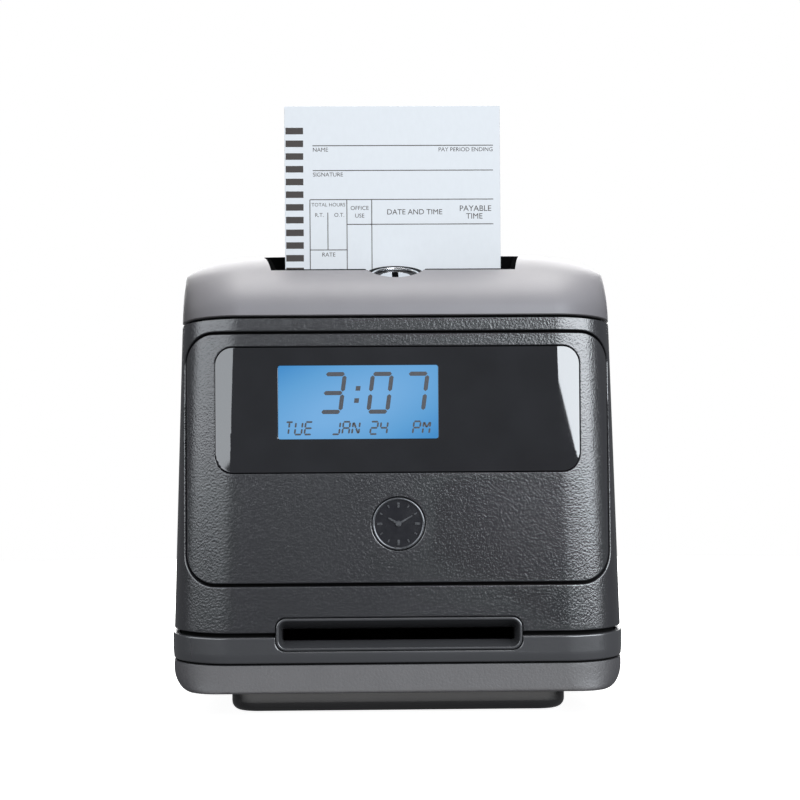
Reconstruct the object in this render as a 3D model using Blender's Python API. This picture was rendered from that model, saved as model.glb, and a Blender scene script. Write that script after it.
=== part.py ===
"""A punch time clock: card feed, dot-matrix print carriage and display in a two-tone moulded case.

Metres, +Z up. The front faces -Y. The origin is at the middle of the underside of the rubber feet.
"""

import math

import bmesh
import bpy
from mathutils import Matrix, Vector

# Driving dimensions of the case
CASE_HALF_WIDTH = 0.1036
SIDE_LEAN = 0.0322          # how far each side leans in per metre of height above the lower seam
LEAN_FROM = 0.036
FRONT_Y = -0.075
REAR_Y = 0.075
FRONT_RADIUS = 0.028
REAR_RADIUS = 0.014
CORNER_STEPS = 5
WALL = 0.0025
GAP = 0.0003                # play between pieces that lie against each other
TONGUE_OUT = WALL + GAP     # a tongue stands inside its neighbour's wall
TONGUE_IN = TONGUE_OUT + 0.0015

# Heights of the seams
PLINTH_BOTTOM, PLINTH_TOP = 0.0015, 0.0097
BASE_BOTTOM, BASE_FLOOR, BASE_TOP = 0.0100, 0.0130, 0.0229
BAND_BOTTOM, BAND_TOP = 0.0237, 0.0355
CASE_BOTTOM, CASE_TOP = 0.0374, 0.1788
COVER_BOTTOM, COVER_TOP = 0.1796, 0.2130
TONGUE_HEIGHT = 0.0052
RIM_OUT, RIM_IN, RIM_HEIGHT = 0.0040, 0.0055, 0.0025    # the case's rim, which locates the cover

# Roll of the top cover: quarter ellipses from these heights up to the crest
ROLL_FROM, ROLL_DEPTH = 0.178, 0.080
SHOULDER_FROM, SHOULDER_WIDTH = 0.1975, 0.030
TAIL_FROM, TAIL_DEPTH = 0.199, 0.013
ROLL_STEPS = 6

# Front panel, lens, display and badge, seen from the front
PANEL_HALF_WIDTH, PANEL_BOTTOM, PANEL_TOP, PANEL_RADIUS = 0.0968, 0.0598, 0.1729, 0.0135
PANEL_GROOVE = 0.0014
PANEL_FLANGE = 0.0015
FLANGE_OUT, FLANGE_IN = 0.0032, 0.0046   # depths of the flange that lies behind the case's wall
LENS_HALF_WIDTH, LENS_BOTTOM, LENS_TOP, LENS_RADIUS = 0.0825, 0.1098, 0.1661, 0.0080
LENS_THICK = 0.0015
LCD_LEFT, LCD_RIGHT, LCD_BOTTOM, LCD_TOP = -0.0540, 0.0183, 0.1247, 0.1580
BADGE_Z, BADGE_RADIUS = 0.0864, 0.0122

# Card, its path and the exit slot
CARD_HALF_WIDTH, CARD_LENGTH, CARD_THICK = 0.0508, 0.2286, 0.0004
CARD_TOP, CARD_Y = 0.2817, -0.0285
GUIDE_BOTTOM, GUIDE_TOP, GUIDE_HALF = 0.0605, 0.1840, 0.0550
SLOT_HALF_WIDTH, SLOT_BOTTOM, SLOT_TOP, SLOT_RADIUS = 0.0556, 0.0294, 0.0440, 0.0062
MOUTH_HALF_WIDTH, MOUTH_BOTTOM, MOUTH_TOP = 0.0530, 0.0333, 0.0387
CHUTE_BEND = 0.0130

# Pocket for the card in the top cover: it widens from its front to its rear
POCKET_FRONT, POCKET_FRONT_HALF = -0.0510, 0.0552
POCKET_REAR, POCKET_REAR_HALF = -0.0120, 0.0602
POCKET_FLOOR = 0.1975
THROAT_WALL, THROAT_FLOOR = 0.0018, 0.0020
CARD_SLOT_HALF = 0.0525

# Key lock: its ring's centre, and its axis tilted forward
LOCK_CENTRE = Vector((0.0, -0.0450, 0.2020))
LOCK_TILT = math.radians(20)
LOCK_AXIS = Vector((0.0, -math.sin(LOCK_TILT), math.cos(LOCK_TILT)))
LOCK_WELL_RADIUS, LOCK_CUP_RADIUS = 0.0143, 0.0140

# Foot plinth and rubber feet
PLINTH_HALF_X, PLINTH_HALF_Y, PLINTH_RADIUS, PLINTH_CHAMFER = 0.0756, 0.0610, 0.0080, 0.0030
FOOT_X, FOOT_Y, FOOT_RADIUS = 0.0580, 0.0440, 0.0066

# Rear cover with its vents, keyholes for wall screws, fixing screws and power inlet
REAR_HALF_WIDTH, REAR_BOTTOM, REAR_TOP, REAR_CORNER = 0.0800, 0.0480, 0.1650, 0.0050
REAR_MARGIN, REAR_PLAY = 0.0040, 0.0004
VENT_COUNT, VENT_PITCH, VENT_HALF, VENT_BOTTOM, VENT_TOP = 8, 0.0100, 0.0015, 0.0850, 0.1150
KEYHOLE_X, KEYHOLE_Z, KEYHOLE_TOP = 0.0600, 0.1330, 0.1440
KEYHOLE_HEAD, KEYHOLE_NECK = 0.0045, 0.0022
SCREW_X, SCREW_HEIGHTS, SCREW_SINK = 0.0720, (0.0560, 0.1570), 0.0022
SCREW_HEAD, SCREW_HOLE = 0.0036, 0.0018
INLET_X, INLET_Z, INLET_HALF_X, INLET_HALF_Z = 0.0510, 0.0590, 0.0065, 0.0060
SOCKET_RADIUS, SOCKET_DEPTH = 0.0032, 0.0110

# Card feed
FEED_Z = 0.1150
FEED_RADIUS, PINCH_RADIUS = 0.0080, 0.0050
ROLLER_X = 0.0300
ROLLER_PLAY = 0.00015
FEED_Y = CARD_Y + CARD_THICK / 2 + ROLLER_PLAY + FEED_RADIUS
PINCH_Y = CARD_Y - CARD_THICK / 2 - ROLLER_PLAY - PINCH_RADIUS
FRAME_X, FRAME_THICK = 0.0570, 0.0015
GEAR_MODULE, GEAR_TEETH, PINION_TEETH = 0.0010, 24, 8
PINION_Y = FEED_Y + GEAR_MODULE * (GEAR_TEETH + PINION_TEETH) / 2 + 0.00025
GEAR_X = (0.0620, 0.0660)

# Print carriage
PRINT_Z = 0.0900
CARRIAGE_X = -0.0400
ROD_Y, ROD_HEIGHTS, ROD_RADIUS = -0.0520, (0.0940, 0.0790), 0.0020
BELT_X, BELT_Y, BELT_Z, PULLEY_RADIUS = 0.0480, -0.0530, 0.0700, 0.0050
BED_Z = (0.0660, 0.0672)

# Set-up buttons on the deck under the cover
BUTTON_X = (0.018, 0.028, 0.038, 0.048)
BUTTON_Y = -0.0570
DECK_Z = (0.1665, 0.1685)


# ---------------------------------------------------------------------------------------------
# Materials and mesh helpers
# ---------------------------------------------------------------------------------------------

def material(name, colour, roughness, metallic=0.0):
    made = bpy.data.materials.new(name)
    made.use_nodes = True
    shader = made.node_tree.nodes["Principled BSDF"]
    shader.inputs["Base Color"].default_value = (*colour, 1.0)
    shader.inputs["Roughness"].default_value = roughness
    shader.inputs["Metallic"].default_value = metallic
    return made


def add_object(name, bm, finish, origin=(0, 0, 0)):
    """Link a mesh built in world space as an object whose origin lies at the given point."""
    bmesh.ops.recalc_face_normals(bm, faces=bm.faces)
    mesh = bpy.data.meshes.new(name)
    bm.to_mesh(mesh)
    bm.free()
    mesh.transform(Matrix.Translation(-Vector(origin)))
    mesh.shade_smooth()
    mesh.set_sharp_from_angle(angle=math.radians(35))
    mesh.materials.append(finish)
    made = bpy.data.objects.new(name, mesh)
    made.location = origin
    bpy.context.scene.collection.objects.link(made)
    return made


def skin(loops, ring=False):
    """A closed mesh through loops of equal length. A ring joins its last loop to its first."""
    bm = bmesh.new()
    rows = [[bm.verts.new(point) for point in loop] for loop in loops]
    pairs = list(zip(rows, rows[1:]))
    if ring:
        pairs.append((rows[-1], rows[0]))
    for low, high in pairs:
        for i, vert in enumerate(low):
            j = (i + 1) % len(low)
            bm.faces.new((vert, low[j], high[j], high[i]))
    if not ring:
        bm.faces.new(rows[0][::-1])
        bm.faces.new(rows[-1])
    return bm


def block(low, high, bevel=0.0):
    """A box between two corners, its edges chamfered when a bevel is given."""
    size = Vector(high) - Vector(low)
    middle = (Vector(high) + Vector(low)) / 2
    bm = bmesh.new()
    bmesh.ops.create_cube(bm, size=1.0, matrix=Matrix.Translation(middle) @ Matrix.Diagonal((*size, 1.0)))
    if bevel:
        bmesh.ops.bevel(bm, geom=bm.edges[:], offset=bevel, segments=1, affect="EDGES")
    return bm


def prism(outline, axis, low, high):
    """An outline of (a, b) pairs in the plane across an axis, extruded along it. Axis X takes (y, z), Y takes
    (x, z) and Z takes (x, y)."""
    def point(a, b, along):
        return {"X": (along, a, b), "Y": (a, along, b), "Z": (a, b, along)}[axis]

    return skin([[point(a, b, along) for a, b in outline] for along in (low, high)])


def circle(radius, steps, centre=(0.0, 0.0), turn=0.0):
    angles = [turn + math.tau * i / steps for i in range(steps)]
    return [(centre[0] + radius * math.cos(a), centre[1] + radius * math.sin(a)) for a in angles]


def rounded(left, bottom, right, top, radius, steps=4):
    """The outline of a rectangle with round corners, anticlockwise."""
    corners = (
        (right - radius, bottom + radius, -90),
        (right - radius, top - radius, 0),
        (left + radius, top - radius, 90),
        (left + radius, bottom + radius, 180),
    )
    outline = []
    for x, y, start in corners:
        for i in range(steps + 1):
            a = math.radians(start + 90 * i / steps)
            outline.append((x + radius * math.cos(a), y + radius * math.sin(a)))
    return outline


def turned(profile, base, axis, steps=16, ring=False):
    """A solid of revolution. The profile's (radius, distance along the axis) pairs run along the axis, and a
    ring's profile is a closed outline clear of the axis."""
    frame = Vector(axis).to_track_quat("Z", "Y").to_matrix()
    loops = []
    for radius, along in profile:
        loops.append([Vector(base) + frame @ Vector((x, y, along)) for x, y in circle(radius, steps)])
    return skin(loops, ring)


def sleeve(inner, outer, base, axis, length, steps=16):
    profile = [(outer, 0.0), (outer, length), (inner, length), (inner, 0.0)]
    return turned(profile, base, axis, steps, ring=True)


def cut(target, name, bm):
    """Take a cutter's shape out of an object."""
    cutter = add_object(name, bm, target.data.materials[0])
    cutter.hide_render = True
    cutter.display_type = "WIRE"
    boolean = target.modifiers.new(name, "BOOLEAN")
    boolean.operation = "DIFFERENCE"
    boolean.object = cutter


# ---------------------------------------------------------------------------------------------
# The case's plan section, and shapes laid on its front
# ---------------------------------------------------------------------------------------------

def half_width(z):
    """Half the outside width of the case: upright below the lower seam, leaning in above it."""
    return CASE_HALF_WIDTH - max(z - LEAN_FROM, 0.0) * SIDE_LEAN


def plan_loop(half, front, rear, front_radius, rear_radius):
    corners = (
        (half - front_radius, front + front_radius, front_radius, -90),
        (half - rear_radius, rear - rear_radius, rear_radius, 0),
        (rear_radius - half, rear - rear_radius, rear_radius, 90),
        (front_radius - half, front + front_radius, front_radius, 180),
    )
    points = []
    for x, y, radius, start in corners:
        for i in range(CORNER_STEPS + 1):
            a = math.radians(start + 90 * i / CORNER_STEPS)
            points.append((x + radius * math.cos(a), y + radius * math.sin(a)))
    return points


def wall_loop(inset, z):
    """The case's section at a height, moved inwards by an inset."""
    outline = plan_loop(
        half_width(z) - inset, FRONT_Y + inset, REAR_Y - inset, FRONT_RADIUS - inset, REAR_RADIUS - inset
    )
    return [(x, y, z) for x, y in outline]


def on_front(x, depth, z):
    """The point behind the case's front surface, at a depth below the surface met at this x and height."""
    flat = half_width(z) - FRONT_RADIUS
    beyond = abs(x) - flat
    if beyond <= 0:
        return Vector((x, FRONT_Y + depth, z))
    a = math.asin(min(beyond / FRONT_RADIUS, 1.0))
    reach = FRONT_RADIUS - depth
    y = FRONT_Y + FRONT_RADIUS - reach * math.cos(a)
    return Vector((math.copysign(flat + reach * math.sin(a), x), y, z))


def wrapped(levels):
    """A plate that follows the case's front: outlines of (x, z) at depths, bent round its corners."""
    bm = skin([[(x, depth, z) for x, z in outline] for outline, depth in levels])
    flat = half_width((PANEL_TOP + PANEL_BOTTOM) / 2) - FRONT_RADIUS
    bends = [flat + FRONT_RADIUS * math.sin(math.radians(a)) for a in (0, 15, 30, 45, 58)]
    for bend in bends:
        for side in (-1, 1):
            geometry = bm.verts[:] + bm.edges[:] + bm.faces[:]
            bmesh.ops.bisect_plane(
                bm, geom=geometry, dist=1e-7, plane_co=(side * bend, 0, 0), plane_no=(side, 0, 0)
            )
    for vert in bm.verts:
        vert.co = on_front(*vert.co)
    return bm


def grown(left, bottom, right, top, radius, by_x, by_z, steps=4):
    return rounded(left - by_x, bottom - by_z, right + by_x, top + by_z, radius + min(by_x, by_z), steps)


# ---------------------------------------------------------------------------------------------
# Case
# ---------------------------------------------------------------------------------------------

def slot_cutter():
    outline = grown(-SLOT_HALF_WIDTH, SLOT_BOTTOM, SLOT_HALF_WIDTH, SLOT_TOP, SLOT_RADIUS, GAP, GAP)
    return prism(outline, "Y", FRONT_Y - 0.005, FRONT_Y + 0.013)


def make_base(shell, rubber):
    sides = (-PLINTH_HALF_X, -PLINTH_HALF_Y, PLINTH_HALF_X, PLINTH_HALF_Y, PLINTH_RADIUS)
    outline = rounded(*sides)
    inner = grown(*sides, -PLINTH_CHAMFER, -PLINTH_CHAMFER)
    loops = [
        [(x, y, PLINTH_BOTTOM) for x, y in inner],
        [(x, y, PLINTH_BOTTOM + PLINTH_CHAMFER) for x, y in outline],
        [(x, y, PLINTH_TOP) for x, y in outline],
    ]
    add_object("foot_plinth", skin(loops), shell["foot"])
    for end, y in (("front", -FOOT_Y), ("rear", FOOT_Y)):
        for side, x in (("left", -FOOT_X), ("right", FOOT_X)):
            profile = [(FOOT_RADIUS - 0.0006, 0.0), (FOOT_RADIUS, PLINTH_BOTTOM - GAP)]
            pad = turned(profile, (x, y, 0.0), (0, 0, 1))
            add_object(f"rubber_foot_{end}_{side}", pad, rubber)
    tray = [
        (0.0110, BASE_BOTTOM),
        (0.0050, BASE_BOTTOM + 0.0014),
        (0.0014, BASE_BOTTOM + 0.0050),
        (0.0, BASE_BOTTOM + 0.0095),
        (0.0, BASE_TOP),
        (TONGUE_OUT, BASE_TOP),
        (TONGUE_OUT, BASE_TOP + 0.0038),
        (TONGUE_IN, BASE_TOP + 0.0038),
        (TONGUE_IN, BASE_FLOOR + 0.0060),
        (0.0110, BASE_FLOOR),
    ]
    add_object("base_tray", skin([wall_loop(inset, z) for inset, z in tray]), shell["base"])


def make_band(shell):
    step = BASE_TOP + 0.0038 + GAP
    ring = [
        (0.0, BAND_BOTTOM),
        (0.0, BAND_TOP),
        (TONGUE_OUT, BAND_TOP),
        (TONGUE_OUT, BAND_TOP + TONGUE_HEIGHT),
        (TONGUE_IN, BAND_TOP + TONGUE_HEIGHT),
        (TONGUE_IN, step),
        (WALL, step),
        (WALL, BAND_BOTTOM),
    ]
    band = add_object("lower_band", skin([wall_loop(inset, z) for inset, z in ring], ring=True), shell["band"])
    cut(band, "band_slot_cutter", slot_cutter())


def make_front_case(shell):
    ring = [
        (0.0, CASE_BOTTOM),
        (0.0, CASE_TOP),
        (RIM_OUT, CASE_TOP),
        (RIM_OUT, CASE_TOP + RIM_HEIGHT),
        (RIM_IN, CASE_TOP + RIM_HEIGHT),
        (RIM_IN, CASE_TOP - 0.0024),
        (WALL, CASE_TOP - 0.0024),
        (WALL, CASE_BOTTOM),
    ]
    case = add_object("front_case", skin([wall_loop(inset, z) for inset, z in ring], ring=True), shell["case"])
    cut(case, "case_slot_cutter", slot_cutter())
    window = grown(
        -PANEL_HALF_WIDTH, PANEL_BOTTOM, PANEL_HALF_WIDTH, PANEL_TOP, PANEL_RADIUS, 0.0009, PANEL_GROOVE
    )
    cut(case, "case_panel_cutter", wrapped([(window, -0.0020), (window, 0.0060)]))
    sides = (-REAR_HALF_WIDTH, REAR_BOTTOM, REAR_HALF_WIDTH, REAR_TOP, REAR_CORNER)
    rear = grown(*sides, REAR_PLAY, REAR_PLAY, steps=3)
    cut(case, "case_rear_cutter", prism(rear, "Y", REAR_Y - 0.006, REAR_Y + 0.005))


def make_panel(shell, gloss, badge):
    sides = (-PANEL_HALF_WIDTH, PANEL_BOTTOM, PANEL_HALF_WIDTH, PANEL_TOP, PANEL_RADIUS)
    face = rounded(*sides)
    flange = grown(*sides, 0.0015, PANEL_GROOVE + PANEL_FLANGE)
    panel = add_object(
        "front_panel",
        wrapped([(face, 0.0), (face, FLANGE_OUT), (flange, FLANGE_OUT), (flange, FLANGE_IN)]),
        shell["case"],
    )
    sides = (-LENS_HALF_WIDTH, LENS_BOTTOM, LENS_HALF_WIDTH, LENS_TOP, LENS_RADIUS)
    pocket = grown(*sides, GAP, GAP)
    cut(panel, "panel_lens_cutter", wrapped([(pocket, -0.0020), (pocket, LENS_THICK + GAP)]))
    window = rounded(LCD_LEFT - 0.001, LCD_BOTTOM - 0.001, LCD_RIGHT + 0.001, LCD_TOP + 0.001, 0.001, steps=1)
    cut(panel, "panel_lcd_cutter", prism(window, "Y", FRONT_Y - 0.002, FRONT_Y + 0.008))
    well = circle(BADGE_RADIUS, 24, (0.0, BADGE_Z))
    cut(panel, "panel_badge_cutter", prism(well, "Y", FRONT_Y - 0.002, FRONT_Y + 0.0018))
    add_object("display_lens", wrapped([(rounded(*sides), 0.0), (rounded(*sides), LENS_THICK)]), gloss)
    disc = circle(BADGE_RADIUS - GAP, 24, (0.0, BADGE_Z))
    add_object("badge_disc", prism(disc, "Y", FRONT_Y + 0.0005, FRONT_Y + 0.0015), badge)


def make_slot_bezel(dark):
    outer = rounded(-SLOT_HALF_WIDTH, SLOT_BOTTOM, SLOT_HALF_WIDTH, SLOT_TOP, SLOT_RADIUS)
    lip = grown(-SLOT_HALF_WIDTH, SLOT_BOTTOM, SLOT_HALF_WIDTH, SLOT_TOP, SLOT_RADIUS, -0.0011, -0.0011)
    mouth = rounded(-MOUTH_HALF_WIDTH, MOUTH_BOTTOM, MOUTH_HALF_WIDTH, MOUTH_TOP, 0.0010)
    levels = [(outer, 0.0110), (outer, 0.0), (lip, 0.0), (mouth, 0.0080), (mouth, 0.0110)]
    loops = [[(x, FRONT_Y + depth, z) for x, z in outline] for outline, depth in levels]
    add_object("slot_bezel", skin(loops, ring=True), dark)


def through_rear(outline):
    """A cutter through the rear cover."""
    return prism(outline, "Y", REAR_Y - 0.010, REAR_Y + 0.005)


def make_rear_cover(shell, dark):
    sides = (-REAR_HALF_WIDTH, REAR_BOTTOM, REAR_HALF_WIDTH, REAR_TOP, REAR_CORNER)
    face = rounded(*sides, steps=3)
    flange = grown(*sides, REAR_MARGIN, REAR_MARGIN, steps=3)
    levels = [
        (face, REAR_Y),
        (face, REAR_Y - TONGUE_OUT),
        (flange, REAR_Y - TONGUE_OUT),
        (flange, REAR_Y - TONGUE_OUT - 0.0020),
    ]
    cover = add_object("rear_cover", skin([[(x, y, z) for x, z in o] for o, y in levels]), shell["base"])
    for i in range(VENT_COUNT):
        x = (i - (VENT_COUNT - 1) / 2) * VENT_PITCH
        slot = rounded(x - VENT_HALF, VENT_BOTTOM, x + VENT_HALF, VENT_TOP, VENT_HALF - 0.0001, steps=2)
        cut(cover, f"vent_cutter_{i + 1}", through_rear(slot))
    for side, x in (("left", -KEYHOLE_X), ("right", KEYHOLE_X)):
        head = circle(KEYHOLE_HEAD, 12, (x, KEYHOLE_Z))
        cut(cover, f"keyhole_head_cutter_{side}", through_rear(head))
        neck_corner = KEYHOLE_NECK - 0.0001
        neck = rounded(x - KEYHOLE_NECK, KEYHOLE_Z + 0.001, x + KEYHOLE_NECK, KEYHOLE_TOP, neck_corner, steps=2)
        cut(cover, f"keyhole_neck_cutter_{side}", through_rear(neck))
    left, right = INLET_X - INLET_HALF_X, INLET_X + INLET_HALF_X
    bottom, top = INLET_Z - INLET_HALF_Z, INLET_Z + INLET_HALF_Z
    cut(cover, "inlet_cutter", through_rear([(left, bottom), (right, bottom), (right, top), (left, top)]))
    for x in (-SCREW_X, SCREW_X):
        for level, z in enumerate(SCREW_HEIGHTS):
            bore = [(SCREW_HEAD, -0.001), (SCREW_HEAD, SCREW_SINK)]
            bore += [(SCREW_HOLE, SCREW_SINK), (SCREW_HOLE, 0.011)]
            side = "left" if x < 0 else "right"
            cut(cover, f"screw_cutter_{side}_{level}", turned(bore, (x, REAR_Y, z), (0, -1, 0), steps=12))
    low = (left + GAP, 0.0610, bottom + GAP)
    high = (right - GAP, REAR_Y - 0.0004, top - GAP)
    inlet = add_object("power_inlet", block(low, high), dark)
    socket = circle(SOCKET_RADIUS, 12, (INLET_X, INLET_Z))
    cut(inlet, "inlet_socket_cutter", prism(socket, "Y", REAR_Y - SOCKET_DEPTH, REAR_Y + 0.001))


# ---------------------------------------------------------------------------------------------
# Top cover, card throat and lock
# ---------------------------------------------------------------------------------------------

def cover_loop(step, inset):
    """A section of the cover. The steps climb the roll evenly from the seam to the crest."""
    climb = math.sin(math.radians(90) * step / ROLL_STEPS)
    z = ROLL_FROM + (COVER_TOP - ROLL_FROM) * climb
    front = FRONT_Y + ROLL_DEPTH * (1 - math.sqrt(max(1 - climb ** 2, 0.0)))
    half, rear = half_width(min(z, SHOULDER_FROM)), REAR_Y
    if z > SHOULDER_FROM:
        up = min((z - SHOULDER_FROM) / (COVER_TOP - SHOULDER_FROM), 1.0)
        half -= SHOULDER_WIDTH * (1 - math.sqrt(1 - up ** 2))
    if z > TAIL_FROM:
        up = min((z - TAIL_FROM) / (COVER_TOP - TAIL_FROM), 1.0)
        rear -= TAIL_DEPTH * (1 - math.sqrt(1 - up ** 2))
    outline = plan_loop(half - inset, front + inset, rear - inset, FRONT_RADIUS - inset, REAR_RADIUS - inset)
    height = COVER_BOTTOM if step == 0 else z - inset
    return [(x, y, height) for x, y in outline]


def roll_height(y):
    """Height of the cover's surface over its middle, from the front up to the crest."""
    across = 1 - (y - FRONT_Y) / ROLL_DEPTH
    return ROLL_FROM + (COVER_TOP - ROLL_FROM) * math.sqrt(1 - across ** 2)


def pocket_half(y):
    """Half the width of the card pocket at a distance from the front."""
    share = (y - POCKET_FRONT) / (POCKET_REAR - POCKET_FRONT)
    return POCKET_FRONT_HALF + (POCKET_REAR_HALF - POCKET_FRONT_HALF) * share


def pocket_plan(inset):
    """The pocket's outline from above, moved inwards by an inset."""
    front, rear = POCKET_FRONT + inset, POCKET_REAR - inset
    wide, narrow = pocket_half(rear) - inset, pocket_half(front) - inset
    return [(-narrow, front), (narrow, front), (wide, rear), (-wide, rear)]


def lock_bore():
    """A cutter along the lock's axis that clears its cup."""
    profile = [(LOCK_WELL_RADIUS, -0.030), (LOCK_WELL_RADIUS, 0.030)]
    return turned(profile, LOCK_CENTRE, LOCK_AXIS, steps=20)


def make_cover(shell):
    outside = [cover_loop(step, 0.0) for step in range(ROLL_STEPS, -1, -1)]
    inside = [cover_loop(step, WALL) for step in range(ROLL_STEPS + 1)]
    cover = add_object("top_cover", skin(outside + inside), shell["cover"])
    cut(cover, "pocket_cutter", prism(pocket_plan(0.0), "Z", 0.150, 0.240))
    cut(cover, "lock_well_cutter", lock_bore())


def make_throat(dark):
    """The black tray in the pocket. Its walls end at the cover's surface."""
    low = POCKET_FLOOR - THROAT_FLOOR
    rows = []
    for i in range(6):
        share = i / 5
        y = POCKET_FRONT + GAP + (POCKET_REAR - POCKET_FRONT - 2 * GAP) * share
        half = pocket_half(y) - GAP
        top = roll_height(y) - 0.0004
        rows.append([(-half, y, low), (half, y, low), (half, y, top), (-half, y, top)])
    throat = add_object("card_throat", skin(rows), dark)
    cut(throat, "throat_inner_cutter", prism(pocket_plan(GAP + THROAT_WALL), "Z", POCKET_FLOOR, 0.230))
    slot = block((-CARD_SLOT_HALF, CARD_Y - 0.0024, 0.180), (CARD_SLOT_HALF, CARD_Y + 0.0016, 0.230))
    cut(throat, "throat_slot_cutter", slot)
    cut(throat, "throat_lock_cutter", lock_bore())


def make_lock(dark, chrome, steel):
    cup = [
        (LOCK_CUP_RADIUS, -0.0085), (LOCK_CUP_RADIUS, -0.0020), (0.0128, -0.0020),
        (0.0128, -0.0070), (0.0068, -0.0070), (0.0068, -0.0085),
    ]
    add_object("lock_well", turned(cup, LOCK_CENTRE, LOCK_AXIS, steps=20, ring=True), dark)
    ring = [
        (0.0112, -0.0066), (0.0116, -0.0010), (0.0113, 0.0004), (0.0106, 0.0009), (0.0098, 0.0003),
        (0.0095, -0.0015), (0.0080, -0.0020), (0.0080, -0.0066),
    ]
    add_object("lock_bezel", turned(ring, LOCK_CENTRE, LOCK_AXIS, steps=20, ring=True), chrome)
    plug = [(0.0060, -0.0140), (0.0060, -0.0045), (0.0076, -0.0045), (0.0076, -0.0016), (0.0066, -0.0008)]
    face = add_object("lock_plug", turned(plug, LOCK_CENTRE, LOCK_AXIS), steel, LOCK_CENTRE)
    keyway = block((-0.0008, -0.0036, -0.0050), (0.0008, 0.0036, 0.0020))
    tilt = LOCK_AXIS.to_track_quat("Z", "Y").to_matrix().to_4x4()
    bmesh.ops.transform(keyway, matrix=Matrix.Translation(LOCK_CENTRE) @ tilt, verts=keyway.verts)
    cut(face, "keyway_cutter", keyway)
    cam = prism(rounded(-0.0135, -0.0035, 0.0045, 0.0035, 0.0030, steps=3), "Z", 0.0, 0.0015)
    centre = LOCK_CENTRE - LOCK_AXIS * 0.0158
    place = Matrix.Translation(centre) @ Matrix.Rotation(LOCK_TILT, 4, "X")
    bmesh.ops.transform(cam, matrix=place, verts=cam.verts)
    add_object("lock_cam", cam, steel, centre)


# ---------------------------------------------------------------------------------------------
# Display, control deck and lock keeper
# ---------------------------------------------------------------------------------------------

def make_display(board, display, dark, steel, button):
    low = (LCD_LEFT - 0.004, FRONT_Y + FLANGE_IN + GAP, LCD_BOTTOM - 0.005)
    high = (LCD_RIGHT + 0.004, FRONT_Y + 0.0085, LCD_TOP + 0.005)
    add_object("lcd_module", block(low, high, 0.0005), display)
    low, high = (-0.0650, FRONT_Y + 0.0088, 0.1120), (0.0400, FRONT_Y + 0.0104, 0.1645)
    add_object("display_board", block(low, high), board)
    low, high = (-0.0540, -0.0640, DECK_Z[0]), (0.0540, -0.0460, DECK_Z[1])
    deck = add_object("control_deck", block(low, high), dark)
    for i, x in enumerate(BUTTON_X):
        base = (x, BUTTON_Y, DECK_Z[0])
        hole = turned([(0.0036, -0.005), (0.0036, 0.010)], base, (0, 0, 1), steps=12)
        cut(deck, f"button_cutter_{i + 1}", hole)
        profile = [
            (0.0042, -0.0020), (0.0042, -0.0004), (0.0032, -0.0004), (0.0032, 0.0052), (0.0028, 0.0058),
        ]
        cap = turned(profile, base, (0, 0, 1), steps=12)
        add_object(f"set_button_{i + 1}", cap, button, base)
    top = 0.1875
    keeper = [
        (-0.0620, DECK_Z[1] + GAP), (-0.0620, top - 0.0015), (-0.0495, top - 0.0015), (-0.0495, top),
        (-0.0635, top), (-0.0635, DECK_Z[1] + GAP),
    ]
    add_object("lock_keeper", prism(keeper, "X", -0.0070, 0.0070), steel)


# ---------------------------------------------------------------------------------------------
# Card path
# ---------------------------------------------------------------------------------------------

def make_card(paper):
    low = (-CARD_HALF_WIDTH, CARD_Y - CARD_THICK / 2, CARD_TOP - CARD_LENGTH)
    high = (CARD_HALF_WIDTH, CARD_Y + CARD_THICK / 2, CARD_TOP)
    add_object("time_card", block(low, high), paper, (0.0, CARD_Y, CARD_TOP - CARD_LENGTH))


def make_guides(steel):
    low, high = (-GUIDE_HALF, -0.0310, GUIDE_BOTTOM), (GUIDE_HALF, -0.0298, GUIDE_TOP)
    front = add_object("card_guide_front", block(low, high), steel)
    window = block((-0.0505, -0.040, PRINT_Z - 0.010), (0.0505, -0.020, PRINT_Z + 0.010))
    cut(front, "print_window_cutter", window)
    inner = GUIDE_HALF - 0.0034
    channel = [
        (-GUIDE_HALF, -0.0260), (-GUIDE_HALF, -0.0295), (-inner, -0.0295), (-inner, -0.0272),
        (inner, -0.0272), (inner, -0.0295), (GUIDE_HALF, -0.0295), (GUIDE_HALF, -0.0260),
    ]
    rear = add_object("card_guide_rear", prism(channel, "Z", GUIDE_BOTTOM, GUIDE_TOP), steel)
    window = block((-0.0512, -0.040, PRINT_Z - 0.007), (0.0512, -0.020, PRINT_Z + 0.007))
    cut(rear, "platen_window_cutter", window)
    for side, x in (("left", -ROLLER_X), ("right", ROLLER_X)):
        for guide, roller in ((front, "pinch"), (rear, "feed")):
            window = block((x - 0.008, -0.040, FEED_Z - 0.0065), (x + 0.008, -0.020, FEED_Z + 0.0065))
            cut(guide, f"{roller}_window_cutter_{side}", window)


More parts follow.
